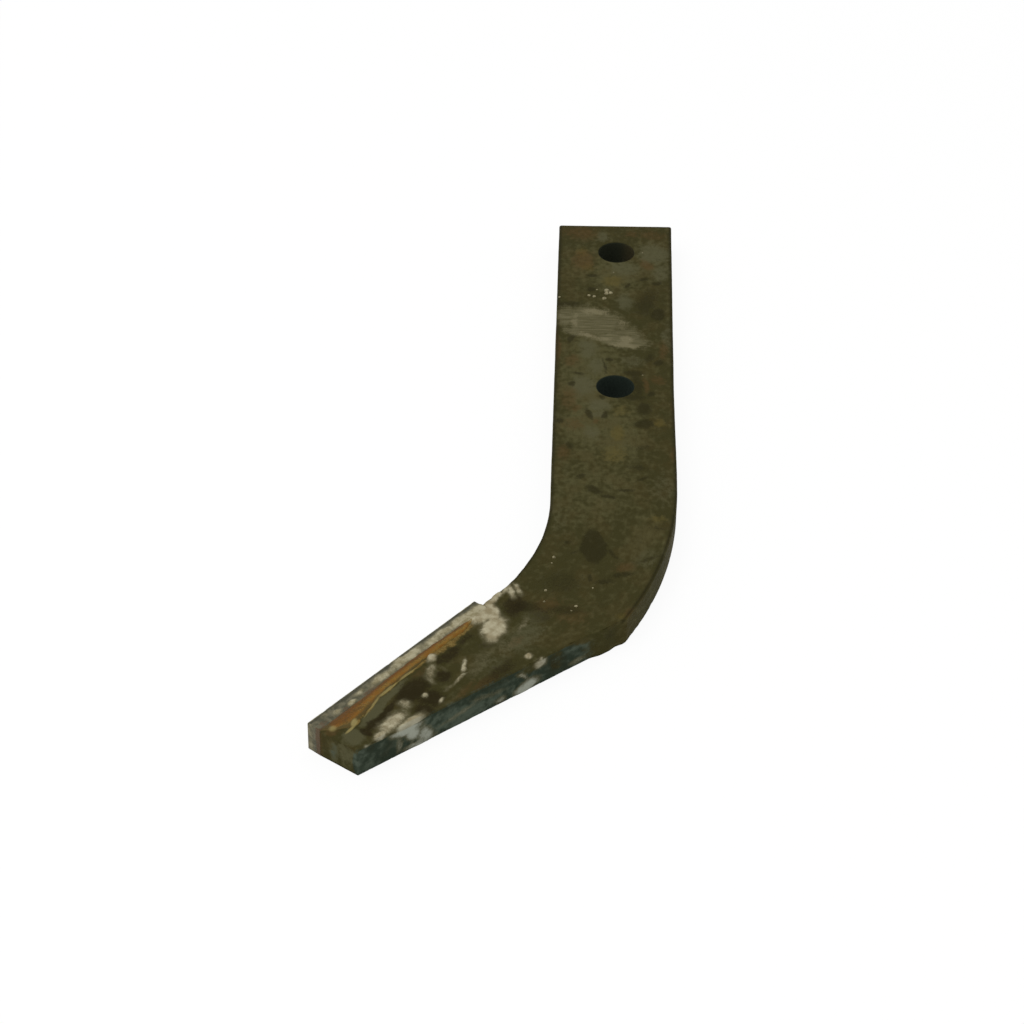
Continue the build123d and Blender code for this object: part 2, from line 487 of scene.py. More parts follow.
GREY_ON_SHANK = (
    (17, 50, 7, 8, 0, 1.0),
    (20, 35, 4, 8, 0, 0.8),
    (4.5, 12, 3.6, 6.5, 10, 1.0),
    (-6, 63.5, 2.6, 4, 10, 1.0),
    (4, 38, 7, 6, 0, 0.8),
    (-11, -24, 4, 8, 0, 0.9),
    (-7.5, -36, 4, 7, 0, 0.8),
    (-13, -51, 5.5, 8, 0, 1.0),
    (-6, -64, 5, 5, 0, 1.0),
    (-6, -71, 3, 3, 0, 0.9),
    (8, -32, 5, 5, 0, 0.7),
    (-9, -83, 3.5, 5, 10, 0.8),
    (23, -14, 2.5, 12, 0, 0.7),
    (21, -120, 6, 12, 0, 0.5),
    (13, -165, 9, 6, 30, 0.5),
    (-22, -140, 4, 14, 12, 0.4),
)
DARK_ON_SHANK = (
    (14, 12, 5, 11, -15, 0.7),
    (18.5, 3, 3, 4.4, 0, 1.5),
    (5, 24, 1.2, 2.2, -25, 1.0),
    (-10, 21, 1.8, 2, 0, 0.9),
    (-10, 32, 2.6, 1.1, 10, 1.0),
    (13, 30, 2.6, 1.3, 20, 0.9),
    (19, 27, 2.4, 1.6, 30, 0.9),
    (-20, 9, 6, 2.6, 0, 0.8),
    (-19, -17, 1.4, 4.5, -20, 1.0),
    (-2.2, -32, 1.5, 1.4, 0, 1.0),
    (-4.5, -36, 0.8, 5, 8, 0.9),
    (15, -29, 2.2, 4, 0, 0.7),
    (19, -33, 2.4, 2.2, 0, 0.9),
    (9, -41, 5, 2.2, 0, 0.9),
    (10, -50, 3, 9, 0, 0.8),
    (7, -58, 7, 2.2, 0, 0.9),
    (-5.5, -58.5, 2.2, 1.6, -35, 0.9),
    (-17.5, -49, 1.6, 2, 0, 1.0),
    (-15, -42, 3, 1.2, 0, 0.8),
    (-10, -71, 1.3, 4, 15, 1.0),
    (-3.3, -71, 0.9, 3, -15, 1.0),
    (12.5, -66, 3, 5, -20, 0.9),
    (12.5, -77, 4, 3, 0, 1.1),
    (16, -55, 1.3, 2, 0, 1.0),
    (-22.5, -76, 2, 2, 0, 0.9),
    (-18, -93, 1.5, 2.5, 0, 0.8),
    (12, -93, 3, 3, 0, 0.6),
)
DARK_ON_ELBOW = (
    (-7.6, -159, 3.8, 8.6, 3, 2.2),
    (-8, -122, 4.5, 1.8, -25, 0.95),
    (-2, -126.5, 3, 1.2, -35, 1.0),
    (5, -122, 4, 1.0, 5, 0.85),
    (12, -114, 3.2, 1.1, 35, 0.9),
    (10, -107, 5, 2, 0, 0.7),
    (-13.5, -114, 2.2, 1.8, 0, 0.8),
    (-18, -156, 1.6, 1.4, 0, 0.9),
    (-15, -163, 3, 1, 30, 0.6),
    (0, -163, 4.5, 0.9, -45, 0.8),
    (14, -165, 7, 0.9, 28, 0.7),
    (4, -176, 6, 1.6, 20, 0.85),
    (-4, -180.5, 5, 1.3, 10, 0.8),
    (-9, -178, 1.2, 3, 0, 0.8),
    (18, -146, 4, 1.6, 0, 0.6),
    (-20, -182, 9, 8, 20, 0.55),
    (-18, -198, 8, 3, 0, 0.7),
    (16, -186, 1.6, 9, -28, 0.8),
    (-33, -197, 6, 3.5, 0, 1.0),
)
# Broad areas where the scale is thinner and paler
PALE_ON_SHANK = (
    (-10, -50, 12, 50, 0, 1.0),
    (0, 34, 11, 15, 0, 1.0),
    (16, 46, 8, 14, 0, 0.7),
    (-13, 42, 9, 18, 0, 0.5),
    (2, -86, 9, 24, 0, 1.0),
    (-12, -78, 10, 14, 0, 1.2),
    (-8, -122, 18, 22, 0, 0.6),
    (12, -150, 8, 22, 0, 0.4),
)
# Bright scraped ground between the holes
SCRAPED = (
    (-9, -3, 14, 10, -18, 1.0),
    (-12, 3, 9, 4.5, 0, 1.0),
    (3, -17, 11, 5, -12, 1.1),
    (5, -13, 9, 6, -25, 0.75),
    (-14, -12, 8, 3.5, -18, 0.95),
    (-21, 0, 4.5, 8, 0, 0.9),
    (8, -21, 3, 1.4, 0, 1.0),
)
SCRAPE_GLINTS = (
    (-7, 4, 8, 2.6, 0, 0.9),
    (-9, -15, 8, 1.8, -15, 1.0),
    (5, -17, 3.5, 3, 10, 1.0),
    (4, -20.5, 7, 1.6, -5, 1.1),
    (3.5, -4, 1.8, 2.2, 0, 0.9),
    (-17, -3, 1.6, 7, 0, 0.7),
)
# Finish of the arm's upper face: along the arm, out of its inner edge, half widths, turn, strength
FLUX_ON_ARM = (
    (12.5, 13.5, 7.5, 4.2, 22, 1.25),
    (5, 6, 8.5, 2.6, 50, 1.15),
    (9, 4.5, 5.5, 4, 10, 1.25),
    (-2, 1, 5, 1.6, 25, 1.0),
    (-9, 3.5, 4.5, 1.8, 55, 0.85),
    (-12.5, 4.5, 4, 1.5, 65, 0.8),
    (-8, 0.8, 5, 1, 0, 0.8),
    (40.5, 6, 3, 2.2, 20, 1.0),
    (35.5, 18.3, 3.6, 0.9, 38, 0.95),
    (42, 22.3, 5, 0.8, 5, 0.75),
    (46.5, 11.2, 4.6, 2.2, 30, 0.65),
    (50.2, 14, 1.4, 3, 0, 0.55),
    (41.4, 13.6, 1.1, 2.2, 0, 0.35),
    (48.5, 22.4, 3, 0.9, 0, 0.45),
    (58.5, 18.3, 1.4, 1.2, 0, 1.0),
    (56, 25, 1.8, 1.0, 20, 0.95),
    (14.8, 33.4, 1.7, 1.2, 0, 1.05),
    (14, 39, 2.4, 1.4, 20, 0.95),
    (77, 19.5, 7.5, 3.2, 5, 0.9),
    (74.5, 25.6, 7.5, 3.2, 0, 1.2),
    (85, 20.6, 4.5, 1.6, 8, 0.92),
    (67, 16.5, 2.5, 2.6, 0, 0.7),
    (94, 22, 3, 0.8, 15, 0.6),
    (3, 20.5, 4, 1.2, 20, 0.5),
    (30, 22, 10, 3.5, 15, 0.3),
    (17, 22, 5, 5, 0, 0.28),
)
PALE_EDGE_LINE = (
    (54, 6.1, 6, 0.4, 1, 0.9),
    (65, 6.5, 6, 0.45, 3, 1.1),
    (74, 7.8, 4.5, 0.4, 14, 0.95),
    (80, 9.5, 3.5, 0.35, 18, 0.6),
    (87, 9.6, 2.2, 1.1, 25, 1.1),
    (90.5, 10.9, 3, 0.6, 5, 1.0),
    (94.6, 5.8, 1.8, 1.6, 0, 0.7),
)
BURNT_ON_ARM = (
    (60, 14, 9, 4.2, 10, 1.15),
    (58, 21, 6, 5, -40, 0.95),
    (65, 24, 3.5, 5, 20, 0.9),
    (76.5, 14.7, 9, 1.6, 14, 1.1),
    (84, 15.2, 4, 2, 20, 0.9),
    (88, 16.5, 1.8, 3, 0, 1.2),
    (45, 16.4, 4, 3.8, 0, 0.85),
    (39, 9.5, 3, 2.4, 0, 0.8),
    (24, 9, 6, 2.2, 5, 0.6),
    (35, 10.5, 6, 3, 0, 0.8),
    (-4, 10, 8, 4.6, 25, 0.85),
    (20, 17, 5, 3, 0, 0.55),
    (30, 31, 12, 3.5, 5, 0.6),
    (-6, 22, 5, 5, 20, 0.5),
)
KHAKI_ON_ARM = (
    (65, 8.9, 9, 1.7, 4, 1.3),
    (79, 11.4, 8, 2.0, 12, 1.4),
    (93.5, 14.8, 4.4, 4, 0, 1.3),
    (8, 25, 12, 6, 5, 0.8),
    (27, 26, 9, 4, 0, 0.6),
    (-4, 20, 6, 5, 20, 0.6),
    (52, 27, 8, 2.4, 0, 0.4),
)
BROWN_ON_ARM = (
    (95.5, 6.5, 3, 2.6, 0, 0.9),
    (88, 18.6, 2, 3, 0, 0.5),
    (12, 24, 5, 2.4, 0, 0.6),
    (38, 31, 7, 2.6, 5, 0.8),
    (46, 28.5, 7, 2.4, 10, 0.7),
    (50, 9, 4, 2.2, 0, 0.7),
    (27, 36, 5, 2, 0, 0.5),
    (-14, 30, 7, 8, 0, 0.6),
)
# Braze that has run out over the bar: along, out, half widths, turn, strength
BRAZE_STAIN = (
    (20, 5.2, 8, 1.6, 3, 1.0),
    (33, 5.6, 8, 1.9, 0, 1.05),
    (50, 5.0, 9, 1.5, 0, 1.05),
    (64, 5.6, 8, 1.4, 4, 1.05),
    (76, 7.4, 7, 1.7, 13, 1.1),
    (86, 8.8, 5, 1.9, 8, 1.1),
    (30.5, 7.6, 2.0, 1.1, 0, 0.8),
)
# Finish of the tapered side: distance up the cut from the tip, height, half widths, turn, strength
FLUX_ON_SIDE = (
    (21.5, 11.6, 7, 3.6, -12, 1.2),
    (25, 7.5, 3.6, 3.0, -40, 1.05),
    (31, 4.2, 3.0, 4.2, 25, 0.85),
    (28, 1.4, 7, 1.3, 0, 0.8),
    (79, 2.6, 5.5, 2.6, 12, 1.1),
    (85.5, 11.4, 3.0, 2.6, -30, 1.0),
    (77, 8, 4.5, 1.0, -40, 0.7),
    (47, 5.5, 9, 1.0, 8, 0.45),
    (60, 7.5, 9, 1.2, -10, 0.4),
    (103, 2.4, 4, 1.2, 0, 0.55),
    (66, 2.0, 3, 1.5, 0, 0.6),
    (18.5, 4.5, 1.6, 4, 0, 0.5),
)
DARK_ON_SIDE = (
    (6, 11, 3, 3.5, -20, 0.7),
    (13, 6, 3, 6, -15, 0.6),
    (44, 12.3, 9, 1.6, 0, 0.7),
    (62, 11.4, 7, 2.0, -10, 0.7),
    (91, 7, 4, 5, 20, 0.9),
    (96.5, 5, 2, 6, 10, 0.9),
    (70, 11, 3, 1.5, -25, 0.6),
    (119, 8, 3, 3, 0, 0.5),
)
PALE_ON_SIDE = (
    (47, 4.5, 17, 3.6, 0, 1.1),
    (3, 7, 4, 6, 0, 0.7),
    (34, 8, 6, 4, 0, 0.8),
    (104, 6.5, 5, 4, 0, 0.4),
)
OLIVE_ON_SIDE = (
    (81, 10.5, 8, 3, 0, 0.9),
    (93, 7.5, 4.5, 7, 0, 0.8),
    (108, 12, 8, 2.6, 0, 1.0),
)
# Finish of the arm's end face: out of the inner edge, height, half widths, turn, strength
GREY_ON_END = (
    (9.8, 5.5, 2.4, 5.5, -8, 0.9),
    (15.5, 8, 5, 5, 0, 0.8),
)
TEAL_ON_END = (
    (20.4, 5.5, 2.2, 6, 0, 0.9),
    (9.6, 6, 2.6, 5.5, -10, 0.42),
)
# Solidified drops and specks on the shank and arm, in plan: x from the bar's middle, y, radius
SPECKS_IN_PLAN = (
    (-3.4, 20.3, 1.3),
    (-1.9, 18.7, 1.0),
    (-3.6, 18.2, 1.0),
    (-4.6, 14.4, 1.0),
    (-11.3, 16.4, 0.75),
    (-9.0, 15.6, 0.8),
    (-7.8, 21.0, 0.45),
    (-24.3, 14.6, 0.5),
    (6.6, -16.5, 0.35),
    (-0.6, 34.8, 0.35),
    (-23.2, -166.0, 0.85),
    (-24.0, -169.6, 0.4),
    (-26.0, -186.5, 0.7),
    (-26.4, -193.3, 0.5),
    (-14.0, -195.6, 0.65),
    (-15.8, -198.4, 0.45),
    (-7.6, -184.3, 0.45),
    (12.2, 51.0, 0.35),
    (12.2, -42.3, 0.4),
)


def rim_distance(points):
    """Distance in plan inside the nearer long edge of the drawn bar: out of its inner edge, or in
    from its outer side, which is straight with its swell and then a circle."""
    away = np.hypot(points[:, 0] - OUTER_CENTRE[0], points[:, 1] - OUTER_CENTRE[1])
    swell = SWELL * smooth(points[:, 1], OUTER_BEND_Y + SWELL_LENGTH, OUTER_BEND_Y)
    straight = OUTER_X + swell - points[:, 0]
    outer = np.where(points[:, 1] > OUTER_BEND_Y, straight, OUTER_RADIUS - away)
    return np.minimum(bar_places(points)[:, 1], outer)


def stirred(points, coarse, fine):
    """Points moved by up to these distances by slow and quick noise, which makes a patch's outline
    uneven."""
    slow = [cloud(points, 7.0, seed) - 0.5 for seed in (11, 23, 37)]
    quick = [noise(points, 1.5, seed) - 0.5 for seed in (12, 24, 38)]
    return points + 2 * coarse * np.column_stack(slow) + 2 * fine * np.column_stack(quick)


def on_upper(z, none=1.1, full=0.4):
    """Share of the upper face's finish at a height: 0 and 1 at these two depths below the face."""
    return smooth(z, BAR_THICKNESS - none, BAR_THICKNESS - full)


def hole_wall(points, place_y):
    """1 on the wall of the bolt hole at a place up Y, and 0 just outside it."""
    away = np.hypot(points[:, 0], points[:, 1] - place_y)
    return smooth(away, HOLE_RADIUS + 0.3, HOLE_RADIUS + 0.05)


def surface_fields(points):
    """Masks of each finish at points on the bar, one half at a patch's rim. Each patch counts only on
    its own face: the upper face, the tapered side, the arm's end, the underside or a hole's wall. The
    rim mask is painted shade on the rounding of the upper face's long edges and painted shadow at the
    foot of the sides. The hole masks are painted shade on the holes' walls, with painted light on their
    right side."""
    moved = stirred(points, 1.6, 0.6)
    x = moved[:, 0] + HOLE_OFFSET
    y = moved[:, 1]
    z = points[:, 2]
    along, out = arm_places(moved)
    true_along, true_out = arm_places(points)
    up, off = cut_places(points)
    up = up + moved[:, 0] - points[:, 0]
    side_z = z + 0.5 * (moved[:, 1] - points[:, 1])
    top = on_upper(z)
    below_top = 1 - top
    under = smooth(z, 1.0, 0.2)
    on_side = smooth(off, -1.3, -0.5) * smooth(up, 128.0, 122.0) * (1 - 0.6 * top)
    on_end = smooth(true_along, TIP_ALONG - 1.2, TIP_ALONG - 0.2) * below_top
    near_seam = smooth(true_along, 0.0, 8.0) * smooth(true_out, 16.0, 3.0)

    rust = np.maximum(soft_patches(x, y, RUST_ON_SHANK), soft_patches(along, out, BROWN_ON_ARM))
    grey = np.maximum(soft_patches(x, y, GREY_ON_SHANK), soft_patches(along, out, KHAKI_ON_ARM))
    grey_end = soft_patches(true_out, side_z, GREY_ON_END)
    dark = np.maximum(soft_patches(x, y, DARK_ON_SHANK), soft_patches(x, y, DARK_ON_ELBOW))
    dark_side = on_side * below_top * soft_patches(up, side_z, DARK_ON_SIDE)
    pale_side = on_side * soft_patches(up, side_z, PALE_ON_SIDE) + on_end * grey_end
    pale = np.maximum(top * soft_patches(x, y, PALE_ON_SHANK), pale_side)
    flux_side = on_side * soft_patches(up, side_z, FLUX_ON_SIDE)
    flux_under = under * near_seam * cloud(points, 6.0, 53)
    warm = smooth(true_along, -22.0, 4.0) * np.maximum(on_side, 0.55 * below_top * (1 - under))
    warm = warm * (1 - 0.75 * soft_patches(up, side_z, OLIVE_ON_SIDE))
    teal_end = soft_patches(true_out, side_z, TEAL_ON_END)
    # Painted shade: a dark band on the rounding of the upper face's long edges, where the edge turns
    # from the light
    edge = np.exp(-(((rim_distance(points) - 0.75) / 0.5) ** 2)) * smooth(z, 10.6, 12.0)
    # Painted shadow: a dark band at the foot of the sides, where the floor's contact shadow falls
    foot = smooth(z, 1.1, 0.4) * smooth(z, 0.0, 0.12)
    # Walls of the bolt holes, which carry painted shade, with painted light on their right side
    wall_lower = hole_wall(points, -HALF_SPACING)
    wall = np.maximum(wall_lower, hole_wall(points, HALF_SPACING))
    return {
        "pale": pale,
        "rust": np.maximum(top * rust, 0.7 * on_end * smooth(true_out, 5.0, 3.4)),
        "ochre": top * soft_patches(x, y, OCHRE_ON_SHANK),
        "grey": np.maximum(top * grey, on_end * grey_end),
        "dark": np.maximum(top * dark, dark_side),
        "scrape": top * soft_patches(x, y, SCRAPED),
        "glint": top * soft_patches(x, y, SCRAPE_GLINTS),
        "line": top * soft_patches(true_along, true_out, PALE_EDGE_LINE),
        "flux": np.maximum(top * soft_patches(along, out, FLUX_ON_ARM), flux_side + flux_under),
        "burnt": top * soft_patches(along, out, BURNT_ON_ARM),
        "stain": top * soft_patches(along, out, BRAZE_STAIN),
        "temper": np.where(on_end > 0.5, on_end * teal_end, warm),
        # Painted shade along the long edges and painted shadow at the foot of the sides
        "rim": np.maximum(edge, foot),
        # Hole masks: painted shade on both walls, painted light on their right side, and the lower
        # hole's teal
        "bore_shade": wall,
        "bore_lit_side": wall * smooth(points[:, 0], 0.5, 6.5),
        "bore_lower": wall_lower,
    }


# Relief of the bar's skin: sizes of its waves, flakes, pits and dents, the heights that no setting
# gives, and the lumps of the crust on the bar and the strip, as the noise's least share, gain,
# size and seed
WAVE_SIZE = 16.0
WAVE_HEIGHT = 0.16
FLAKE_SIZE = 2.6
PIT_SIZE = 1.7
DENT_SIZE = 3.2
SCRAPE_DEPTH = 0.06
BAR_LUMPS = (0.75, 0.35, 5.0, 13)
STRIP_LUMPS = (0.6, 0.45, 4.0, 79)

# Shallow crater burnt into the arm's upper face: its middle along the arm and out of its inner
# edge, its depth, the radii of its floor and its side, and its rim's radius, height and width
CRATER_ALONG = 45.4
CRATER_OUT = 15.6
CRATER_DEPTH = 0.45
CRATER_FLOOR = 2.5
CRATER_SIDE = 6.0
CRATER_RIM = 7.0
CRATER_RIM_HEIGHT = 0.22
CRATER_RIM_WIDTH = 1.5


def crust(points, fields, finish, lumps):
    """Height of the flux crust: its full thickness, times the flux mask with fine noise above two
    fifths, times slow noise for its lumps."""
    least, gain, size, seed = lumps
    share = smooth(fields["flux"] + 0.12 * (cloud(points, 1.8, 71) - 0.5), 0.4, 1.1)
    return share * finish.flux_thickness / MM * (least + gain * cloud(points, size, seed, 2))


def crater(points):
    """Height of the crater: a smooth hollow, and a rim round it that rises as a bell curve."""
    along, out = arm_places(points)
    ring = np.hypot(along - CRATER_ALONG, out - CRATER_OUT)
    rim = np.exp(-(((ring - CRATER_RIM) / CRATER_RIM_WIDTH) ** 2))
    return -CRATER_DEPTH * smooth(ring, CRATER_SIDE, CRATER_FLOOR) + CRATER_RIM_HEIGHT * rim


def bar_relief(points, normals, finish):
    """Height of the bar's skin out of the plain bar, as the sum of shallow waves, scale flakes,
    pits, a smoother hollow where it is scraped, a crater on the arm, dents along edges, and the
    flux crust."""
    fields = surface_fields(points)
    waves = (cloud(points, WAVE_SIZE, 3) - 0.5) * WAVE_HEIGHT
    flakes = (cloud(points, FLAKE_SIZE, 5) - 0.5) * finish.flake_depth / MM
    pits = -smooth(cloud(points, PIT_SIZE, 7), 0.68, 0.82) * smooth(fields["dark"], 0.2, 0.6)
    scraped = smooth(fields["scrape"], 0.35, 0.6)
    dented = smooth(cloud(points, DENT_SIZE, 9), 0.56, 0.75)
    dents = -edge_share(normals) * dented * finish.edge_wear / MM
    height = waves + flakes * (1 - 0.8 * scraped) + pits * finish.pit_depth / MM
    height = height - SCRAPE_DEPTH * scraped + on_upper(points[:, 2]) * crater(points) + dents
    return height + crust(points, fields, finish, BAR_LUMPS)


def within_box(points):
    """Points moved inside the box of the drawn blade."""
    return np.clip(points, BOX_LOW, BOX_HIGH)


def mesh_of(name, points, quads):
    """Mesh from points in millimetres and rows of equally many corners."""
    mesh = bpy.data.meshes.new(name)
    corners = quads.shape[1]
    mesh.vertices.add(len(points))
    mesh.vertices.foreach_set("co", (points * MM).astype(np.float32).ravel())
    mesh.loops.add(quads.size)
    mesh.loops.foreach_set("vertex_index", quads.astype(np.int32).ravel())
    mesh.polygons.add(len(quads))
    mesh.polygons.foreach_set("loop_start", np.arange(0, quads.size, corners, dtype=np.int32))
    mesh.update(calc_edges=True)
    return mesh


def points_of(mesh):
    """Points of a mesh, in millimetres."""
    flat = np.empty(len(mesh.vertices) * 3, np.float32)
    mesh.vertices.foreach_get("co", flat)
    return flat.reshape(-1, 3).astype(float) / MM


def add_fields(mesh, fields, points):
    """Store each mask, and the places down, across and through the bar, on the mesh's points."""
    for name, values in fields.items():
        mask = mesh.attributes.new(name, "FLOAT", "POINT")
        mask.data.foreach_set("value", np.asarray(values, np.float32))
    places = mesh.attributes.new("bar", "FLOAT_VECTOR", "POINT")
    places.data.foreach_set("vector", bar_places(points).astype(np.float32).ravel())


def add_piece(name, mesh, material, slot, *nodes):
    """Object of a finished mesh that rides on the blade and replaces solids. The slot argument is not
    used.
    """
    piece = bpy.data.objects.new(name, mesh)
    bpy.context.scene.collection.objects.link(piece)
    mesh.materials.clear()
    mesh.materials.append(material)
    mesh.shade_smooth()
    mesh.set_sharp_from_angle(angle=SHARP_ANGLE)
    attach(piece, "root")
    if nodes:
        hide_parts(*nodes)


def closed_walls(ids):
    """Quads between each row of a grid of points and the next, each row closed on itself."""
    after = np.roll(ids, -1, axis=1)
    return np.stack([ids[:-1], after[:-1], after[1:], ids[1:]], -1).reshape(-1, 4)


def revolved(middle, radii, heights, segments):
    """Closed surface of revolution about an upright line: a ring for each radius and height, and
    a point at each end of the line."""
    turn = np.linspace(0, 2 * np.pi, segments, endpoint=False)
    ring_x = middle[0] + np.outer(radii, np.cos(turn))
    ring_y = middle[1] + np.outer(radii, np.sin(turn))
    ring_z = np.repeat(heights, segments).reshape(len(heights), segments)
    rings = np.column_stack([ring_x.ravel(), ring_y.ravel(), ring_z.ravel()])
    poles = np.array([[middle[0], middle[1], heights[0]], [middle[0], middle[1], heights[-1]]])
    ids = np.arange(len(rings)).reshape(len(heights), segments)
    after = np.roll(ids, -1, axis=1)
    walls = closed_walls(ids)
    first = np.full(segments, len(rings))
    low = np.stack([first, after[0], ids[0]], -1)
    high = np.stack([first + 1, ids[-1], after[-1]], -1)
    upper = np.stack([walls[:, 0], walls[:, 1], walls[:, 2]], -1)
    lower = np.stack([walls[:, 0], walls[:, 2], walls[:, 3]], -1)
    return np.vstack([rings, poles]), np.vstack([upper, lower, low, high])


def hole_cutter(place_y):
    """Cutter for one bolt hole: a long upright cylinder whose radius grows near each face by the
    flare times the square of a smoothstep. None of its rings lies in the plane of a face."""
    inside = np.linspace(0, BAR_THICKNESS, HOLE_RINGS + 2)[1:-1]
    heights = np.concatenate([FACE_RINGS, inside, BAR_THICKNESS - FACE_RINGS[::-1]])
    to_face = np.minimum(heights, BAR_THICKNESS - heights)
    radii = HOLE_RADIUS + HOLE_FLARE * smooth(to_face, FACE_RINGS[-1], FACE_RINGS[1]) ** 2
    points, faces = revolved((0.0, place_y), radii, heights, HOLE_SEGMENTS)
    cutter = bpy.data.objects.new("hole_cutter", mesh_of("hole_cutter", points, faces))
    bpy.context.scene.collection.objects.link(cutter)
    return cutter


def bore_holes(mesh):
    """Mesh with both bolt holes cut through it."""
    blank = bpy.data.objects.new("blank", mesh)
    bpy.context.scene.collection.objects.link(blank)
    cutters = [hole_cutter(HALF_SPACING), hole_cutter(-HALF_SPACING)]
    for cutter in cutters:
        cut = blank.modifiers.new("hole", "BOOLEAN")
        cut.operation = "DIFFERENCE"
        cut.solver = "EXACT"
        cut.object = cutter
    shaped = blank.evaluated_get(bpy.context.evaluated_depsgraph_get())
    bored = bpy.data.meshes.new_from_object(shaped)
    for spare in [blank] + cutters:
        bpy.data.objects.remove(spare)
    return bored


class Wire:
    """A socket in a shader's tree. Arithmetic on wires and numbers adds Math nodes."""

    def __init__(self, tree, socket=None):
        self.tree = tree
        self.socket = socket

    def node(self, kind, settings=None, values=None, output=0):
        """Add a node of any type: first its settings, then the values or links of its sockets."""
        made = self.tree.nodes.new(kind)
        for key, value in (settings or {}).items():
            setattr(made, key, value)
        for key, value in (values or {}).items():
            if isinstance(value, Wire):
                self.tree.links.new(value.socket, made.inputs[key])
            else:
                made.inputs[key].default_value = value
        return Wire(self.tree, made.outputs[output]) if made.outputs else Wire(self.tree)

    def math(self, operation, first, second):
        return self.node("ShaderNodeMath", {"operation": operation}, {0: first, 1: second})

    def __add__(self, other):
        return self.math("ADD", self, other)

    def __radd__(self, other):
        return self.math("ADD", other, self)

    def __sub__(self, other):
        return self.math("SUBTRACT", self, other)

    def __rsub__(self, other):
        return self.math("SUBTRACT", other, self)

    def __mul__(self, other):
        return self.math("MULTIPLY", self, other)

    def __rmul__(self, other):
        return self.math("MULTIPLY", other, self)


def mask_of(tree, name):
    """One of the masks stored on the mesh."""
    return tree.node("ShaderNodeAttribute", {"attribute_name": name}, output="Fac")


def between(value, low, high):
    """0 below low, 1 above high and smooth between."""
    return value.node(
        "ShaderNodeMapRange", {"interpolation_type": "SMOOTHSTEP"}, {0: value, 1: low, 2: high}
    )


def blend(share, first, second):
    """Mix of two colours."""
    return share.node(
        "ShaderNodeMix", {"data_type": "RGBA"}, {0: share, 6: first, 7: second}, output=2
    )


def grain(tree, places, scale, detail=3.0, stretch=(1.0, 1.0, 1.0)):
    """Noise from 0 to 1 at a number of features per millimetre, stretched along the bar's ways."""
    scaled = tree.node("ShaderNodeMapping", {"vector_type": "TEXTURE"}, {0: places, 3: stretch})
    return tree.node("ShaderNodeTexNoise", None, {"Vector": scaled, "Scale": scale, "Detail": detail})


def new_material(name):
    """Empty node material, and a wire into its tree."""
    material = bpy.data.materials.new(name)
    material.use_nodes = True
    material.node_tree.nodes.clear()
    return material, Wire(material.node_tree)


def bar_material(name):
    """Empty node material, a wire into its tree, and the places down, across and through the bar."""
    material, tree = new_material(name)
    return material, tree, tree.node("ShaderNodeAttribute", {"attribute_name": "bar"}, output="Vector")


def finished(material, tree, values):
    """Material with a surface shader of the given sockets, joined to its output."""
    shader = tree.node("ShaderNodeBsdfPrincipled", None, values)
    tree.node("ShaderNodeOutputMaterial", None, {"Surface": shader})
    return material


def bumped(tree, height, depth=0.0003):
    """Normal of a fine relief, as deep as given in metres."""
    return tree.node("ShaderNodeBump", None, {"Distance": depth, "Height": height}, output="Normal")


def ragged_rim(medium, fine, slow, quick):
    """Noise about 0 that makes a mask's rim ragged: a share of each of two noises."""
    return (medium - 0.5) * slow + (fine - 0.5) * quick


def laid(colour, mask, low, high, share, tint):
    """Colour with a tint laid over it, from none where the mask is low to a share where it is
    high."""
    return blend(between(mask, low, high) * share, colour, tint)


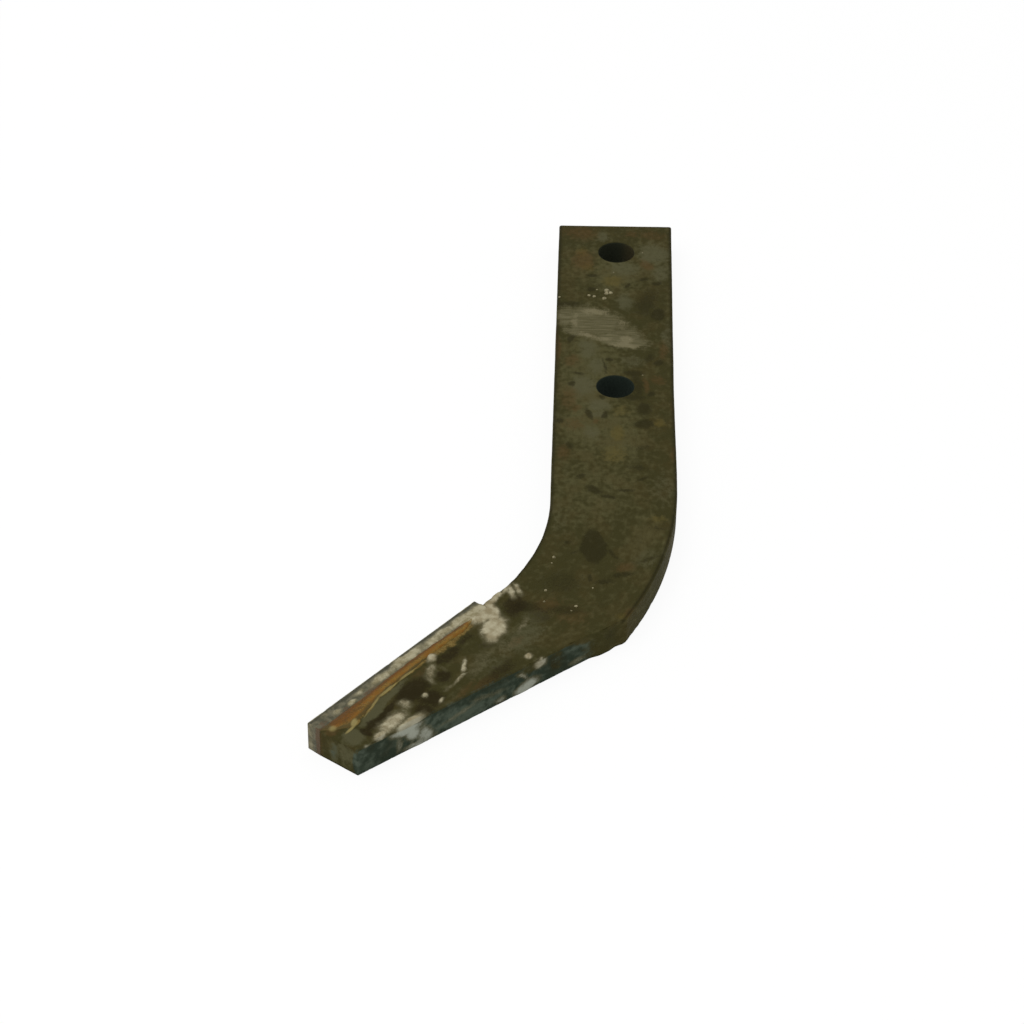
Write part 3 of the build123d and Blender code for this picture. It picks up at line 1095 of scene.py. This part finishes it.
def scaled_steel(finish):
    """Hot-rolled bar: mottled olive mill scale, with the masked finishes laid over it in turn. Painted
    shade lies along its long edges and in its bolt holes, with painted light on the holes' right side,
    and painted shadow lies at the foot of its sides.
    """
    material, tree, places = bar_material("scaled_steel")
    coarse = grain(tree, places, 0.09, 3.0)
    medium = grain(tree, places, 0.4, 4.0)
    fine = grain(tree, places, 1.6, 3.0)
    streaks = grain(tree, places, 0.5, 3.0, (6.0, 1.0, 1.0))
    lines = grain(tree, places, 1.6, 2.0, (0.7, 14.0, 1.0))
    ragged = ragged_rim(medium, fine, 1.1, 0.8)
    balance = medium + (streaks - 0.5) * 0.4 + (coarse - 0.5) * 0.5 + (mask_of(tree, "pale") - 0.5) * 0.3
    shade = between(balance, 0.28, 0.74)
    colour = blend(shade, tuple(finish.scale_dark), tuple(finish.scale_light))
    colour = laid(colour, coarse + (fine - 0.5) * 0.4, 0.44, 0.64, 0.3, tone(70, 58, 29))
    colour = laid(colour, streaks + (fine - 0.5) * 0.5, 0.54, 0.74, 0.25, tone(46, 42, 19))
    colour = laid(colour, fine, 0.58, 0.72, 0.3, tone(40, 36, 15))
    for name, low, high, share, tint in (
        ("grey", 0.18, 1.05, 0.72, tone(84, 82, 58)),
        ("ochre", 0.18, 1.05, 0.6, tone(90, 79, 38)),
        ("rust", 0.2, 1.1, 0.55, tuple(finish.rust_colour)),
        ("dark", 0.18, 0.92, 0.78, tone(42, 39, 18)),
    ):
        colour = laid(colour, mask_of(tree, name) + ragged, low, high, share, tint)
    # Painted shade along the rolled edges and painted contact shadow at the foot of the sides, from the
    # rim mask
    colour = blend(mask_of(tree, "rim") * 0.7, colour, tone(34, 32, 16))
    scraped = between(mask_of(tree, "scrape") + ragged * 0.6, 0.2, 0.85)
    worn = blend(between(lines, 0.38, 0.64), tone(83, 78, 51), tone(104, 99, 72))
    worn = laid(worn, mask_of(tree, "glint") + ragged, 0.3, 1.0, 0.85, tone(121, 114, 86))
    colour = blend(scraped * 0.9, colour, worn)
    colour = laid(colour, mask_of(tree, "burnt") + ragged, 0.18, 0.92, 0.85, tone(37, 31, 14))
    heated = blend(shade, tone(43, 52, 40), tone(74, 83, 70))
    temper = mask_of(tree, "temper")
    colour = blend(between(temper + ragged * 0.4, 0.25, 0.7), colour, heated)
    dark_side = between(mask_of(tree, "dark") + ragged, 0.25, 0.85) * 0.6
    colour = blend(dark_side * temper, colour, tone(38, 41, 26))
    orange = blend(between(fine + (medium - 0.5) * 0.8, 0.3, 0.7), tone(100, 80, 40), tone(128, 108, 60))
    colour = laid(colour, mask_of(tree, "stain") + ragged * 0.35, 0.3, 0.95, 0.9, orange)
    colour = laid(colour, mask_of(tree, "line"), 0.2, 1.0, 0.9, tone(144, 131, 82))
    flux = mask_of(tree, "flux") + ragged * 0.4
    colour = laid(colour, flux, 0.02, 0.6, 0.6, tone(98, 93, 69))
    fluxed = between(flux, 0.36, 1.05)
    chalk = between(medium * 0.6 + coarse * 0.4, 0.36, 0.64)
    chalky = blend(chalk, tone(142, 131, 102), tuple(finish.flux_colour))
    colour = blend(fluxed, colour, blend(temper, chalky, tone(152, 155, 141)))
    # Painted shade in the bolt holes: dark wall tones, lighter on the right side as painted light. The
    # lower hole's wall keeps its own teal tint, darkened as painted shade.
    wall = blend(mask_of(tree, "bore_lit_side"), tone(40, 43, 32), tone(56, 52, 35))
    wall = blend(mask_of(tree, "bore_lower"), wall, tone(39, 47, 41))
    height = fine * 0.5 + medium * 0.5 + lines * scraped * 0.35 + fluxed * fine * 0.2
    values = {
        # The painted shade of the hole walls replaces the colour there
        "Base Color": blend(mask_of(tree, "bore_shade"), colour, wall),
        "Roughness": 0.66 - 0.14 * scraped + 0.1 * fluxed + (fine - 0.5) * 0.2,
        "Metallic": scraped * 0.2,
        "Normal": bumped(tree, height),
        "Specular IOR Level": 0.03,
    }
    return finished(material, tree, values)


def hard_metal():
    """Wear strip: dull grey hard metal with brown stains and dull bands, under flux crust."""
    material, tree, places = bar_material("hard_metal")
    medium = grain(tree, places, 0.4, 4.0)
    fine = grain(tree, places, 1.8, 3.0)
    ragged = ragged_rim(medium, fine, 1.3, 0.9)
    colour = blend(between(medium, 0.36, 0.64), tone(78, 77, 60), tone(106, 102, 82))
    colour = laid(colour, fine, 0.58, 0.72, 0.5, tone(58, 56, 43))
    colour = laid(colour, mask_of(tree, "rust") + ragged, 0.3, 0.85, 0.8, tone(84, 63, 42))
    colour = laid(colour, mask_of(tree, "dark") + ragged, 0.3, 0.9, 0.8, tone(62, 62, 49))
    flux = mask_of(tree, "flux") + ragged * 0.5
    colour = laid(colour, flux, 0.1, 0.6, 0.45, tone(112, 106, 80))
    fluxed = between(flux, 0.4, 1.1)
    chalk = between(medium + (fine - 0.5) * 0.3, 0.32, 0.7)
    values = {
        "Base Color": blend(fluxed, colour, blend(chalk, tone(136, 127, 96), tone(172, 165, 137))),
        "Roughness": 0.52 + 0.2 * fluxed + (fine - 0.5) * 0.2,
        "Metallic": (1 - fluxed) * 0.15,
        "Normal": bumped(tree, fine * 0.6 + medium * 0.6),
        "Specular IOR Level": 0.1,
    }
    return finished(material, tree, values)


def braze_metal(finish):
    """Braze: orange to straw oxidised filler, redder beside the strip and olive on its outer side,
    with a pale line at its foot and flux over its first part."""
    material, tree, places = bar_material("braze_metal")
    medium = grain(tree, places, 0.45, 4.0, (2.2, 1.0, 1.0))
    fine = grain(tree, places, 1.9, 3.0)
    ragged = ragged_rim(medium, fine, 1.2, 0.8)
    straw = between(medium + (fine - 0.5) * 0.5, 0.4, 0.64)
    colour = blend(straw, tuple(finish.braze_colour), tone(142, 114, 50))
    colour = laid(colour, mask_of(tree, "rust") + ragged, 0.15, 0.95, 0.85, tone(90, 56, 20))
    colour = laid(colour, fine + (medium - 0.5) * 0.9, 0.44, 0.68, 0.6, tone(80, 58, 22))
    colour = laid(colour, mask_of(tree, "outer") + ragged * 0.8, 0.25, 0.95, 0.9, tone(78, 68, 36))
    colour = laid(colour, mask_of(tree, "line"), 0.2, 1.0, 0.9, tone(148, 134, 84))
    fluxed = between(mask_of(tree, "flux") + ragged, 0.45, 1.0)
    values = {
        "Base Color": blend(fluxed, colour, tone(150, 140, 104)),
        "Roughness": 0.5 + 0.2 * fluxed + (fine - 0.5) * 0.25,
        "Metallic": (1 - fluxed) * 0.15,
        "Normal": bumped(tree, fine * 0.6 + medium * 0.7),
        "Specular IOR Level": 0.12,
    }
    return finished(material, tree, values)


def flux_glaze():
    """Set flux: cream, chalky lumps that are a little darker in their hollows."""
    material, tree, places = bar_material("flux_glaze")
    medium = grain(tree, places, 0.7, 4.0)
    fine = grain(tree, places, 2.6, 3.0)
    values = {
        "Base Color": blend(between(medium, 0.34, 0.66), tone(102, 95, 68), tone(150, 142, 110)),
        "Roughness": 0.55 + (fine - 0.5) * 0.3,
        "Normal": bumped(tree, fine * 0.7 + medium * 0.5, 0.0002),
        "Specular IOR Level": 0.15,
    }
    return finished(material, tree, values)


# Flux and stains on the strip's upper face: along the arm, out of its inner edge, half widths,
# turn, strength
FLUX_ON_STRIP = (
    (14, 0.4, 12, 2.2, 0, 1.2),
    (11, 1.9, 9, 2.2, 0, 1.25),
    (30, 0.2, 10, 2.2, 0, 1.1),
    (47, -0.4, 10, 2.4, 0, 1.15),
    (61, 0.2, 8, 1.8, 0, 1.0),
    (79, 1.0, 2.4, 1.3, 0, 1.1),
    (87, 0.6, 2.2, 1.2, 0, 1.1),
    (73, -0.8, 3, 1.2, 0, 0.8),
    (92, -1.5, 3, 0.8, 0, 0.6),
)
BROWN_ON_STRIP = (
    (94.5, 0.9, 2.6, 1.4, 0, 0.65),
    (69, 1.6, 6, 1.0, 0, 0.7),
    (83, 1.8, 2, 1.0, 0, 0.7),
)


def strip_fields(points):
    """Masks of the strip's finishes: flux on its upper face and in drips down its outer face, brown
    beside the joint and at the tip, and dull dark bands along its outer edge."""
    stir = np.column_stack([cloud(points, 5.0, seed) - 0.5 for seed in (41, 43, 47)]) * 2.2
    along, out = arm_places(points + stir)
    true_along, true_out = arm_places(points)
    z = points[:, 2]
    top = on_upper(z, 0.9, 0.35)
    end = smooth(true_along, STRIP_END - 0.7, STRIP_END - 0.2)
    outer_face = smooth(true_out, -STRIP_STAND + 0.7, -STRIP_STAND + 0.2)
    drips = cloud(np.column_stack([true_along, z * 0.35, out * 0]), 4.0, 61)
    drips = drips * smooth(z, 0.0, 11.0) + 0.12
    patchy = 0.65 + 0.6 * cloud(points, 4.5, 59)
    flux = top * patchy * soft_patches(along, out, FLUX_ON_STRIP)
    flux = np.maximum(flux, outer_face * drips) * (1 - end)
    by_joint = smooth(out, 1.6, 2.8) * smooth(true_along, 14.0, 24.0) * 0.8
    rust = top * np.maximum(by_joint, soft_patches(along, out, BROWN_ON_STRIP)) * (1 - end)
    band = top * smooth(out, -1.4, -2.8) * 1.1
    return {
        "flux": np.maximum(flux, end * smooth(true_out, 0.6, -1.6) * 0.62),
        "rust": np.maximum(rust, end * smooth(true_out, -0.6, 1.8)),
        "dark": np.maximum(band, 0.3 * outer_face),
    }


def strip_skin(finish):
    """Strip as a straight block with rounded long edges, its section drawn in at the ends by the
    square of a smoothstep. Flux raises its skin, and chips and slow waves lower it."""
    runs = np.concatenate([END_ROWS, np.linspace(END_ROWS[-1], STRIP_LENGTH / 2, STRIP_ROWS)[1:]])
    runs = np.concatenate([runs, STRIP_LENGTH - runs[::-1][1:]])
    across = spread(np.array([STRIP_WIDTH]), STRIP_CELLS)[0]
    up = spread(np.array([BAR_THICKNESS]), CELLS_THROUGH)[0]
    (i, j, k), quads = skin_of((len(runs), len(across), len(up)))
    s, z, turn_s, turn_z = rounded(across[j], up[k], STRIP_WIDTH, BAR_THICKNESS, STRIP_CHAMFER)
    from_end = np.minimum(runs, STRIP_LENGTH - runs)
    inset = (STRIP_END_RADIUS * smooth(from_end, END_ROWS[-1], 0.0) ** 2)[i]
    s = drawn_in(s, STRIP_WIDTH, inset)
    z = drawn_in(z, BAR_THICKNESS, inset)
    points = np.column_stack([plan(STRIP_START + runs[i], s - STRIP_STAND), z])
    level = turn_s[:, None] * OUT + cap_turn(i, len(runs))[:, None] * ALONG
    normals = unit(np.column_stack([level, turn_z]))
    rise = crust(points, strip_fields(points), finish, STRIP_LUMPS)
    rise = rise * (turn_z > 0.5) * smooth(s, 0.5, 1.9)
    chipped = smooth(cloud(points, 2.0, 83), 0.6, 0.78) * 0.25
    chips = edge_share(normals) * chipped * finish.edge_wear / MM
    waves = (cloud(points, 6.0, 89) - 0.5) * 0.05
    lifted = np.minimum(waves - chips, 0.0) + rise
    return within_box(points + normals * lifted[:, None]), quads


# The bead at places along the arm: along, its inner and its outer foot out of the arm's inner edge,
# and its height
BEAD = (
    (STRIP_START, STRIP_INNER, SEAT_FLOOR, 0.0),
    (9.0, 2.8, 3.3, 0.1),
    (14.0, 2.4, 4.2, 0.4),
    (22.0, 2.0, 5.4, 0.55),
    (40.0, 1.3, 5.6, 0.6),
    (52.0, 1.6, 6.1, 0.66),
    (66.0, 2.0, 6.6, 0.66),
    (76.0, 2.3, 8.0, 0.66),
    (84.0, 2.4, 9.6, 0.66),
    (89.0, 2.4, 10.2, 0.6),
    (93.0, 2.4, 8.0, 0.45),
    (96.5, 2.5, 5.0, 0.2),
    (STRIP_END, STRIP_INNER, SEAT_FLOOR, 0.0),
)


def bead_edges(along):
    """Inner and outer foot of the bead and its height, on straight runs between its places: it
    starts narrow, follows the joint, and swings out and widens towards the tip."""
    marks, inner, outer, height = zip(*BEAD)
    return [np.interp(along, marks, side) for side in (inner, outer, height)]


def seam_skin():
    """Braze seam: a section carried along the joint. The section is the thin film in the seat, with
    the bead standing on it over the upper face. At a share t of its width the bead's crown has
    (1 - (2 t - 1)^4)^0.8 of its full height. Returns the points, the quads between sections, and
    each section's row of points."""
    rows = np.linspace(STRIP_START + SEAM_STEP, STRIP_END, SEAM_ROWS)
    along = np.concatenate([[SEAT_SHOULDER, STRIP_START], rows])
    inner, outer, height = bead_edges(along)
    line = np.column_stack([along, np.zeros((len(along), 2))])
    wavy = height > 0.15
    inner = inner + (cloud(line, 5.0, 91) - 0.5) * 0.9 * wavy
    outer = outer + (cloud(line, 4.0, 97) - 0.5) * 1.3 * wavy
    share = np.linspace(0, 1, CROWN_STEPS)
    crown = (1 - (2 * share - 1) ** 4) ** 0.8
    crown_out = inner[:, None] + (outer - inner)[:, None] * share
    flat = [np.repeat(along, CROWN_STEPS), crown_out.ravel(), np.zeros(crown_out.size)]
    ripple = (cloud(np.column_stack(flat), 2.6, 101) - 0.5).reshape(crown_out.shape) * 0.35
    raised = height[:, None] + CROWN_SINK + ripple * height[:, None]
    crown_up = BAR_THICKNESS - CROWN_SINK + raised * crown
    side = np.where(along < STRIP_START, 0.0, STRIP_INNER)[:, None]
    low = np.zeros((len(along), 1))
    foot = low + BAR_THICKNESS - FOOT_SINK
    floor = low + SEAT_FLOOR
    section_out = np.hstack([side, floor, floor, crown_out[:, ::-1], side])
    section_up = np.hstack([low, low, foot, crown_up[:, ::-1], foot])
    ids = np.arange(section_out.size).reshape(section_out.shape)
    place = plan(np.repeat(along, ids.shape[1]), section_out.ravel())
    points = within_box(np.column_stack([place, section_up.ravel()]))
    return points, closed_walls(ids), ids


def seam_fields(points):
    """Masks of the braze: redder along its strip side and over its last part, olive on its outer
    side past the arm's first part and at the tip, a pale line along its outer foot, and flux over
    the arm's first part with flecks beside the strip."""
    along, out = arm_places(points)
    inner, outer, _ = bead_edges(along)
    share = (out - inner) / np.maximum(outer - inner, 0.3)
    last_part = 0.8 * smooth(along, 66.0, 88.0) * smooth(share, 1.0, 0.4)
    outer_side = smooth(share - 0.3 * smooth(along, 48.0, 32.0), 0.5, 0.95)
    flecks = 0.6 * smooth(along, 26.0, 12.0) + 0.2 * smooth(share, 0.2, 0.0)
    return {
        "rust": np.maximum(smooth(share, 0.7, 0.1), last_part),
        "outer": np.maximum(outer_side, smooth(along, 91.0, 96.0)),
        "line": soft_patches(along, out, PALE_EDGE_LINE),
        "flux": np.maximum(1.3 * smooth(along, 15.0, 9.0), flecks),
    }


def pebble_points(place, radius, height, seed):
    """Points of one set drop: a dome of its height times the root of 1 - r^2, where r is the share
    of its radius. Noise stirs the radius round the drop, and a foot under its rim is sunk into
    the face below."""
    rings = np.linspace(0, 1, DROP_RINGS + 1)[1:]
    turn = np.linspace(0, 2 * np.pi, DROP_SIDES, endpoint=False)
    ring, angle = np.meshgrid(rings, turn, indexing="ij")
    ring_places = np.column_stack([np.cos(turn), np.sin(turn), turn * 0 + seed])
    reach = radius * ring * (1 + 0.5 * (noise(ring_places, 0.9, 5) - 0.5))
    dome = height * np.sqrt(np.maximum(1 - ring**2, 0))
    flat = np.stack([reach * np.cos(angle), reach * np.sin(angle), dome], -1).reshape(-1, 3)
    foot = flat[-DROP_SIDES:] - np.array([0, 0, DROP_SINK])
    return place + np.vstack([[0, 0, height], flat, foot, [0, 0, -DROP_SINK]])


def pebble_faces():
    """Triangles of one drop: a fan at the top, bands between its rings, and a fan beneath."""
    last = DROP_POINTS - 1
    ids = np.arange(1, last).reshape(-1, DROP_SIDES)
    after = np.roll(ids, -1, axis=1)
    top = np.stack([np.zeros(DROP_SIDES, int), ids[0], after[0]], -1)
    lower = np.stack([ids[:-1], ids[1:], after[1:]], -1).reshape(-1, 3)
    upper = np.stack([ids[:-1], after[1:], after[:-1]], -1).reshape(-1, 3)
    base = np.stack([np.full(DROP_SIDES, last), after[-1], ids[-1]], -1)
    return np.vstack([top, lower, upper, base])


class BladeFinish(PropertyGroup):
    """Sizes and colours of the blade's finish."""

    flake_depth: FloatProperty(
        name="Flake depth",
        description="Height from valley to top of the mill scale's flakes",
        default=0.00008,
        subtype="DISTANCE",
        unit="LENGTH",
    )
    pit_depth: FloatProperty(
        name="Pit depth",
        description="Depth of the deepest rust pits",
        default=0.0001,
        subtype="DISTANCE",
        unit="LENGTH",
    )
    edge_wear: FloatProperty(
        name="Edge wear",
        description="Depth of the dents along the edges",
        default=0.00055,
        subtype="DISTANCE",
        unit="LENGTH",
    )
    flux_thickness: FloatProperty(
        name="Flux thickness",
        description="Thickness of the thickest flux crust",
        default=0.0006,
        subtype="DISTANCE",
        unit="LENGTH",
    )
    scale_dark: FloatVectorProperty(
        name="Dark scale",
        description="Darker tone of the mill scale",
        default=tone(58, 55, 28),
        size=4,
        subtype="COLOR",
    )
    scale_light: FloatVectorProperty(
        name="Light scale",
        description="Lighter tone of the mill scale",
        default=tone(80, 77, 48),
        size=4,
        subtype="COLOR",
    )
    rust_colour: FloatVectorProperty(
        name="Rust",
        description="Brown of the rust stains",
        default=tone(82, 62, 34),
        size=4,
        subtype="COLOR",
    )
    flux_colour: FloatVectorProperty(
        name="Flux",
        description="Cream of the set flux",
        default=tone(178, 171, 143),
        size=4,
        subtype="COLOR",
    )
    braze_colour: FloatVectorProperty(
        name="Braze",
        description="Orange of the braze filler",
        default=tone(120, 82, 24),
        size=4,
        subtype="COLOR",
    )


class StageSettings(PropertyGroup):
    """Floor and light round the blade."""

    floor_width: FloatProperty(
        name="Floor width",
        description="Side of the square floor",
        default=8.0,
        subtype="DISTANCE",
        unit="LENGTH",
    )
    key_power: FloatProperty(
        name="Key light",
        description="Power of the soft light above and in front of the blade",
        default=6.0,
        unit="POWER",
    )
    sky_strength: FloatProperty(
        name="Sky",
        description="Strength of the even light from all round",
        default=0.75,
    )


class TILLER_OT_blade_body(Operator):
    """Make the bent bar with its scale, rust, scraped patch and flux"""

    bl_idname = "tiller.blade_body"
    bl_label = "Make the bar"

    def execute(self, context):
        finish = context.scene.blade_finish
        points, normals, quads = bar_skin()
        height = bar_relief(points, normals, finish)
        points = within_box(points + normals * height[:, None])
        mesh = bore_holes(mesh_of("blade_body_skin", points, quads))
        mesh.name = "blade_body_skin"
        cut_points = points_of(mesh)
        add_fields(mesh, surface_fields(cut_points), cut_points)
        add_piece("blade_body_skin", mesh, scaled_steel(finish), "scaled_steel", "blade_body")
        return {"FINISHED"}


class TILLER_OT_edge_strip(Operator):
    """Make the hard-metal strip with its chipped edges and flux crust"""

    bl_idname = "tiller.edge_strip"
    bl_label = "Make the wear strip"

    def execute(self, context):
        finish = context.scene.blade_finish
        points, quads = strip_skin(finish)
        mesh = mesh_of("edge_strip_skin", points, quads)
        add_fields(mesh, strip_fields(points), points)
        add_piece("edge_strip_skin", mesh, hard_metal(), "hard_metal", "edge_strip")
        return {"FINISHED"}


class TILLER_OT_braze_seam(Operator):
    """Make the braze film and the bead along the joint"""

    bl_idname = "tiller.braze_seam"
    bl_label = "Make the braze seam"

    def execute(self, context):
        points, walls, ids = seam_skin()
        mesh = bpy.data.meshes.new("braze_seam_skin")
        caps = [ids[0][::-1].tolist(), ids[-1].tolist()]
        mesh.from_pydata((points * MM).tolist(), [], walls.tolist() + caps)
        add_fields(mesh, seam_fields(points), points)
        material = braze_metal(context.scene.blade_finish)
        add_piece("braze_seam_skin", mesh, material, "braze", "braze_seam")
        return {"FINISHED"}


class TILLER_OT_flux_specks(Operator):
    """Make the set drops of flux on the bar's upper face"""

    bl_idname = "tiller.flux_specks"
    bl_label = "Make the flux specks"

    def execute(self, context):
        parts = []
        for seed, (x, y, radius) in enumerate(SPECKS_IN_PLAN):
            middle = np.array([x - HOLE_OFFSET, y, BAR_THICKNESS - RIM_SINK])
            height = min(DROP_HEIGHT, DROP_SHARE * radius)
            parts.append(pebble_points(middle, radius, height, seed))
        faces = [pebble_faces() + DROP_POINTS * number for number in range(len(parts))]
        points = within_box(np.vstack(parts))
        mesh = mesh_of("flux_specks", points, np.vstack(faces))
        add_fields(mesh, {}, points)
        add_piece("flux_specks", mesh, flux_glaze(), "braze")
        return {"FINISHED"}


# Camera, fitted to the photograph: its place in metres, how far it looks down, its two turns, its
# lens and sensor, and how far it sees in metres
CAMERA_PLACE = (-0.01998, -1.13397, 0.80638)
CAMERA_DOWN = radians(38.547)
CAMERA_TURN = radians(-1.218)
CAMERA_ROLL = radians(0.806)
CAMERA_LENS = 111.32
SENSOR_WIDTH = 36.0
SIGHT = 20.0

# Stage: the gap under the blade, the floor's glow and its share where it is seen directly, and the
# key light's width, place and aim in metres
FLOOR_GAP = 0.1
FLOOR_GLOW = 1.02
GLOW_SHARE = 0.9
KEY_WIDTH = 1.2
KEY_PLACE = (-0.7, -0.5, 1.3)
KEY_AIM = (0, -0.1, 0)


def camera_matrix():
    """Camera's place and turn: it looks down and a little aside, and is rolled about its view."""
    level = cos(CAMERA_DOWN)
    forward = Vector((sin(CAMERA_TURN) * level, cos(CAMERA_TURN) * level, -sin(CAMERA_DOWN)))
    right = Vector((cos(CAMERA_TURN), -sin(CAMERA_TURN), 0))
    up = right.cross(forward)
    rolled_right = cos(CAMERA_ROLL) * right + sin(CAMERA_ROLL) * up
    rolled_up = -sin(CAMERA_ROLL) * right + cos(CAMERA_ROLL) * up
    turn = Matrix((rolled_right, rolled_up, -forward)).transposed()
    return Matrix.Translation(Vector(CAMERA_PLACE)) @ turn.to_4x4()


def seen_directly(tree):
    """1 for rays from the camera and for reflections, 0 for light that falls on the object."""
    names = ("Is Camera Ray", "Is Glossy Ray", "Is Transmission Ray")
    camera, glossy, through = [tree.node("ShaderNodeLightPath", output=name) for name in names]
    return tree.math("MINIMUM", camera + glossy + through, 1.0)


class TILLER_OT_stage(Operator):
    """Make the pale floor, the soft lights and the camera"""

    bl_idname = "tiller.stage"
    bl_label = "Make the stage"

    def execute(self, context):
        settings = context.scene.blade_stage
        half = settings.floor_width / 2 / MM
        corners = np.array([[-half, -half, 0], [half, -half, 0], [half, half, 0], [-half, half, 0]])
        mesh = mesh_of("floor", corners - np.array([0, 0, FLOOR_GAP]), np.array([[0, 1, 2, 3]]))
        material, tree = new_material("floor")
        pale = tree.node("ShaderNodeBsdfDiffuse", None, {"Color": tone(244, 244, 243)})
        glow = tree.node("ShaderNodeEmission", None, {"Color": (1, 1, 1, 1), "Strength": FLOOR_GLOW})
        share = seen_directly(tree) * GLOW_SHARE
        mixed = tree.node("ShaderNodeMixShader", None, {0: share, 1: pale, 2: glow})
        tree.node("ShaderNodeOutputMaterial", None, {"Surface": mixed})
        mesh.materials.append(material)
        floor = bpy.data.objects.new("floor", mesh)
        context.scene.collection.objects.link(floor)

        world = bpy.data.worlds.new("studio")
        world.use_nodes = True
        world.node_tree.nodes.clear()
        sky = Wire(world.node_tree)
        seen = seen_directly(sky)
        strength = seen + (1 - seen) * settings.sky_strength
        light = sky.node("ShaderNodeBackground", None, {"Color": (1, 1, 1, 1), "Strength": strength})
        sky.node("ShaderNodeOutputWorld", None, {"Surface": light})
        context.scene.world = world

        key = bpy.data.lights.new("key", "AREA")
        key.shape = "DISK"
        key.size = KEY_WIDTH
        key.energy = settings.key_power
        lamp = bpy.data.objects.new("key", key)
        lamp.location = KEY_PLACE
        aim = Vector(KEY_AIM) - lamp.location
        lamp.rotation_euler = aim.to_track_quat("-Z", "Y").to_euler()
        context.scene.collection.objects.link(lamp)

        view = bpy.data.cameras.new("view")
        view.lens = CAMERA_LENS
        view.sensor_width = SENSOR_WIDTH
        view.clip_end = SIGHT
        camera = bpy.data.objects.new("view", view)
        camera.matrix_world = camera_matrix()
        context.scene.collection.objects.link(camera)
        context.scene.camera = camera
        context.scene.view_settings.view_transform = "Standard"
        return {"FINISHED"}


class VIEW3D_PT_tiller_blade(Panel):
    """Operators and settings of the tiller blade"""

    bl_label = "Tiller Blade"
    bl_space_type = "VIEW_3D"
    bl_region_type = "UI"
    bl_category = "Blade"

    def draw(self, context):
        layout = self.layout
        for operator in OPERATORS:
            layout.operator(operator.bl_idname)
        for group in (context.scene.blade_finish, context.scene.blade_stage):
            box = layout.box()
            for name in type(group).__annotations__:
                box.prop(group, name)


OPERATORS = (
    TILLER_OT_stage,
    TILLER_OT_blade_body,
    TILLER_OT_edge_strip,
    TILLER_OT_braze_seam,
    TILLER_OT_flux_specks,
)
CLASSES = (BladeFinish, StageSettings) + OPERATORS + (VIEW3D_PT_tiller_blade,)


def register():
    for item in CLASSES:
        bpy.utils.register_class(item)
    bpy.types.Scene.blade_finish = PointerProperty(type=BladeFinish)
    bpy.types.Scene.blade_stage = PointerProperty(type=StageSettings)


def unregister():
    del bpy.types.Scene.blade_finish
    del bpy.types.Scene.blade_stage
    for item in reversed(CLASSES):
        bpy.utils.unregister_class(item)


def main():
    """Register the classes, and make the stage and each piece."""
    register()
    bpy.ops.tiller.stage()
    bpy.ops.tiller.blade_body()
    bpy.ops.tiller.edge_strip()
    bpy.ops.tiller.braze_seam()
    bpy.ops.tiller.flux_specks()


if __name__ == "__main__":
    main()
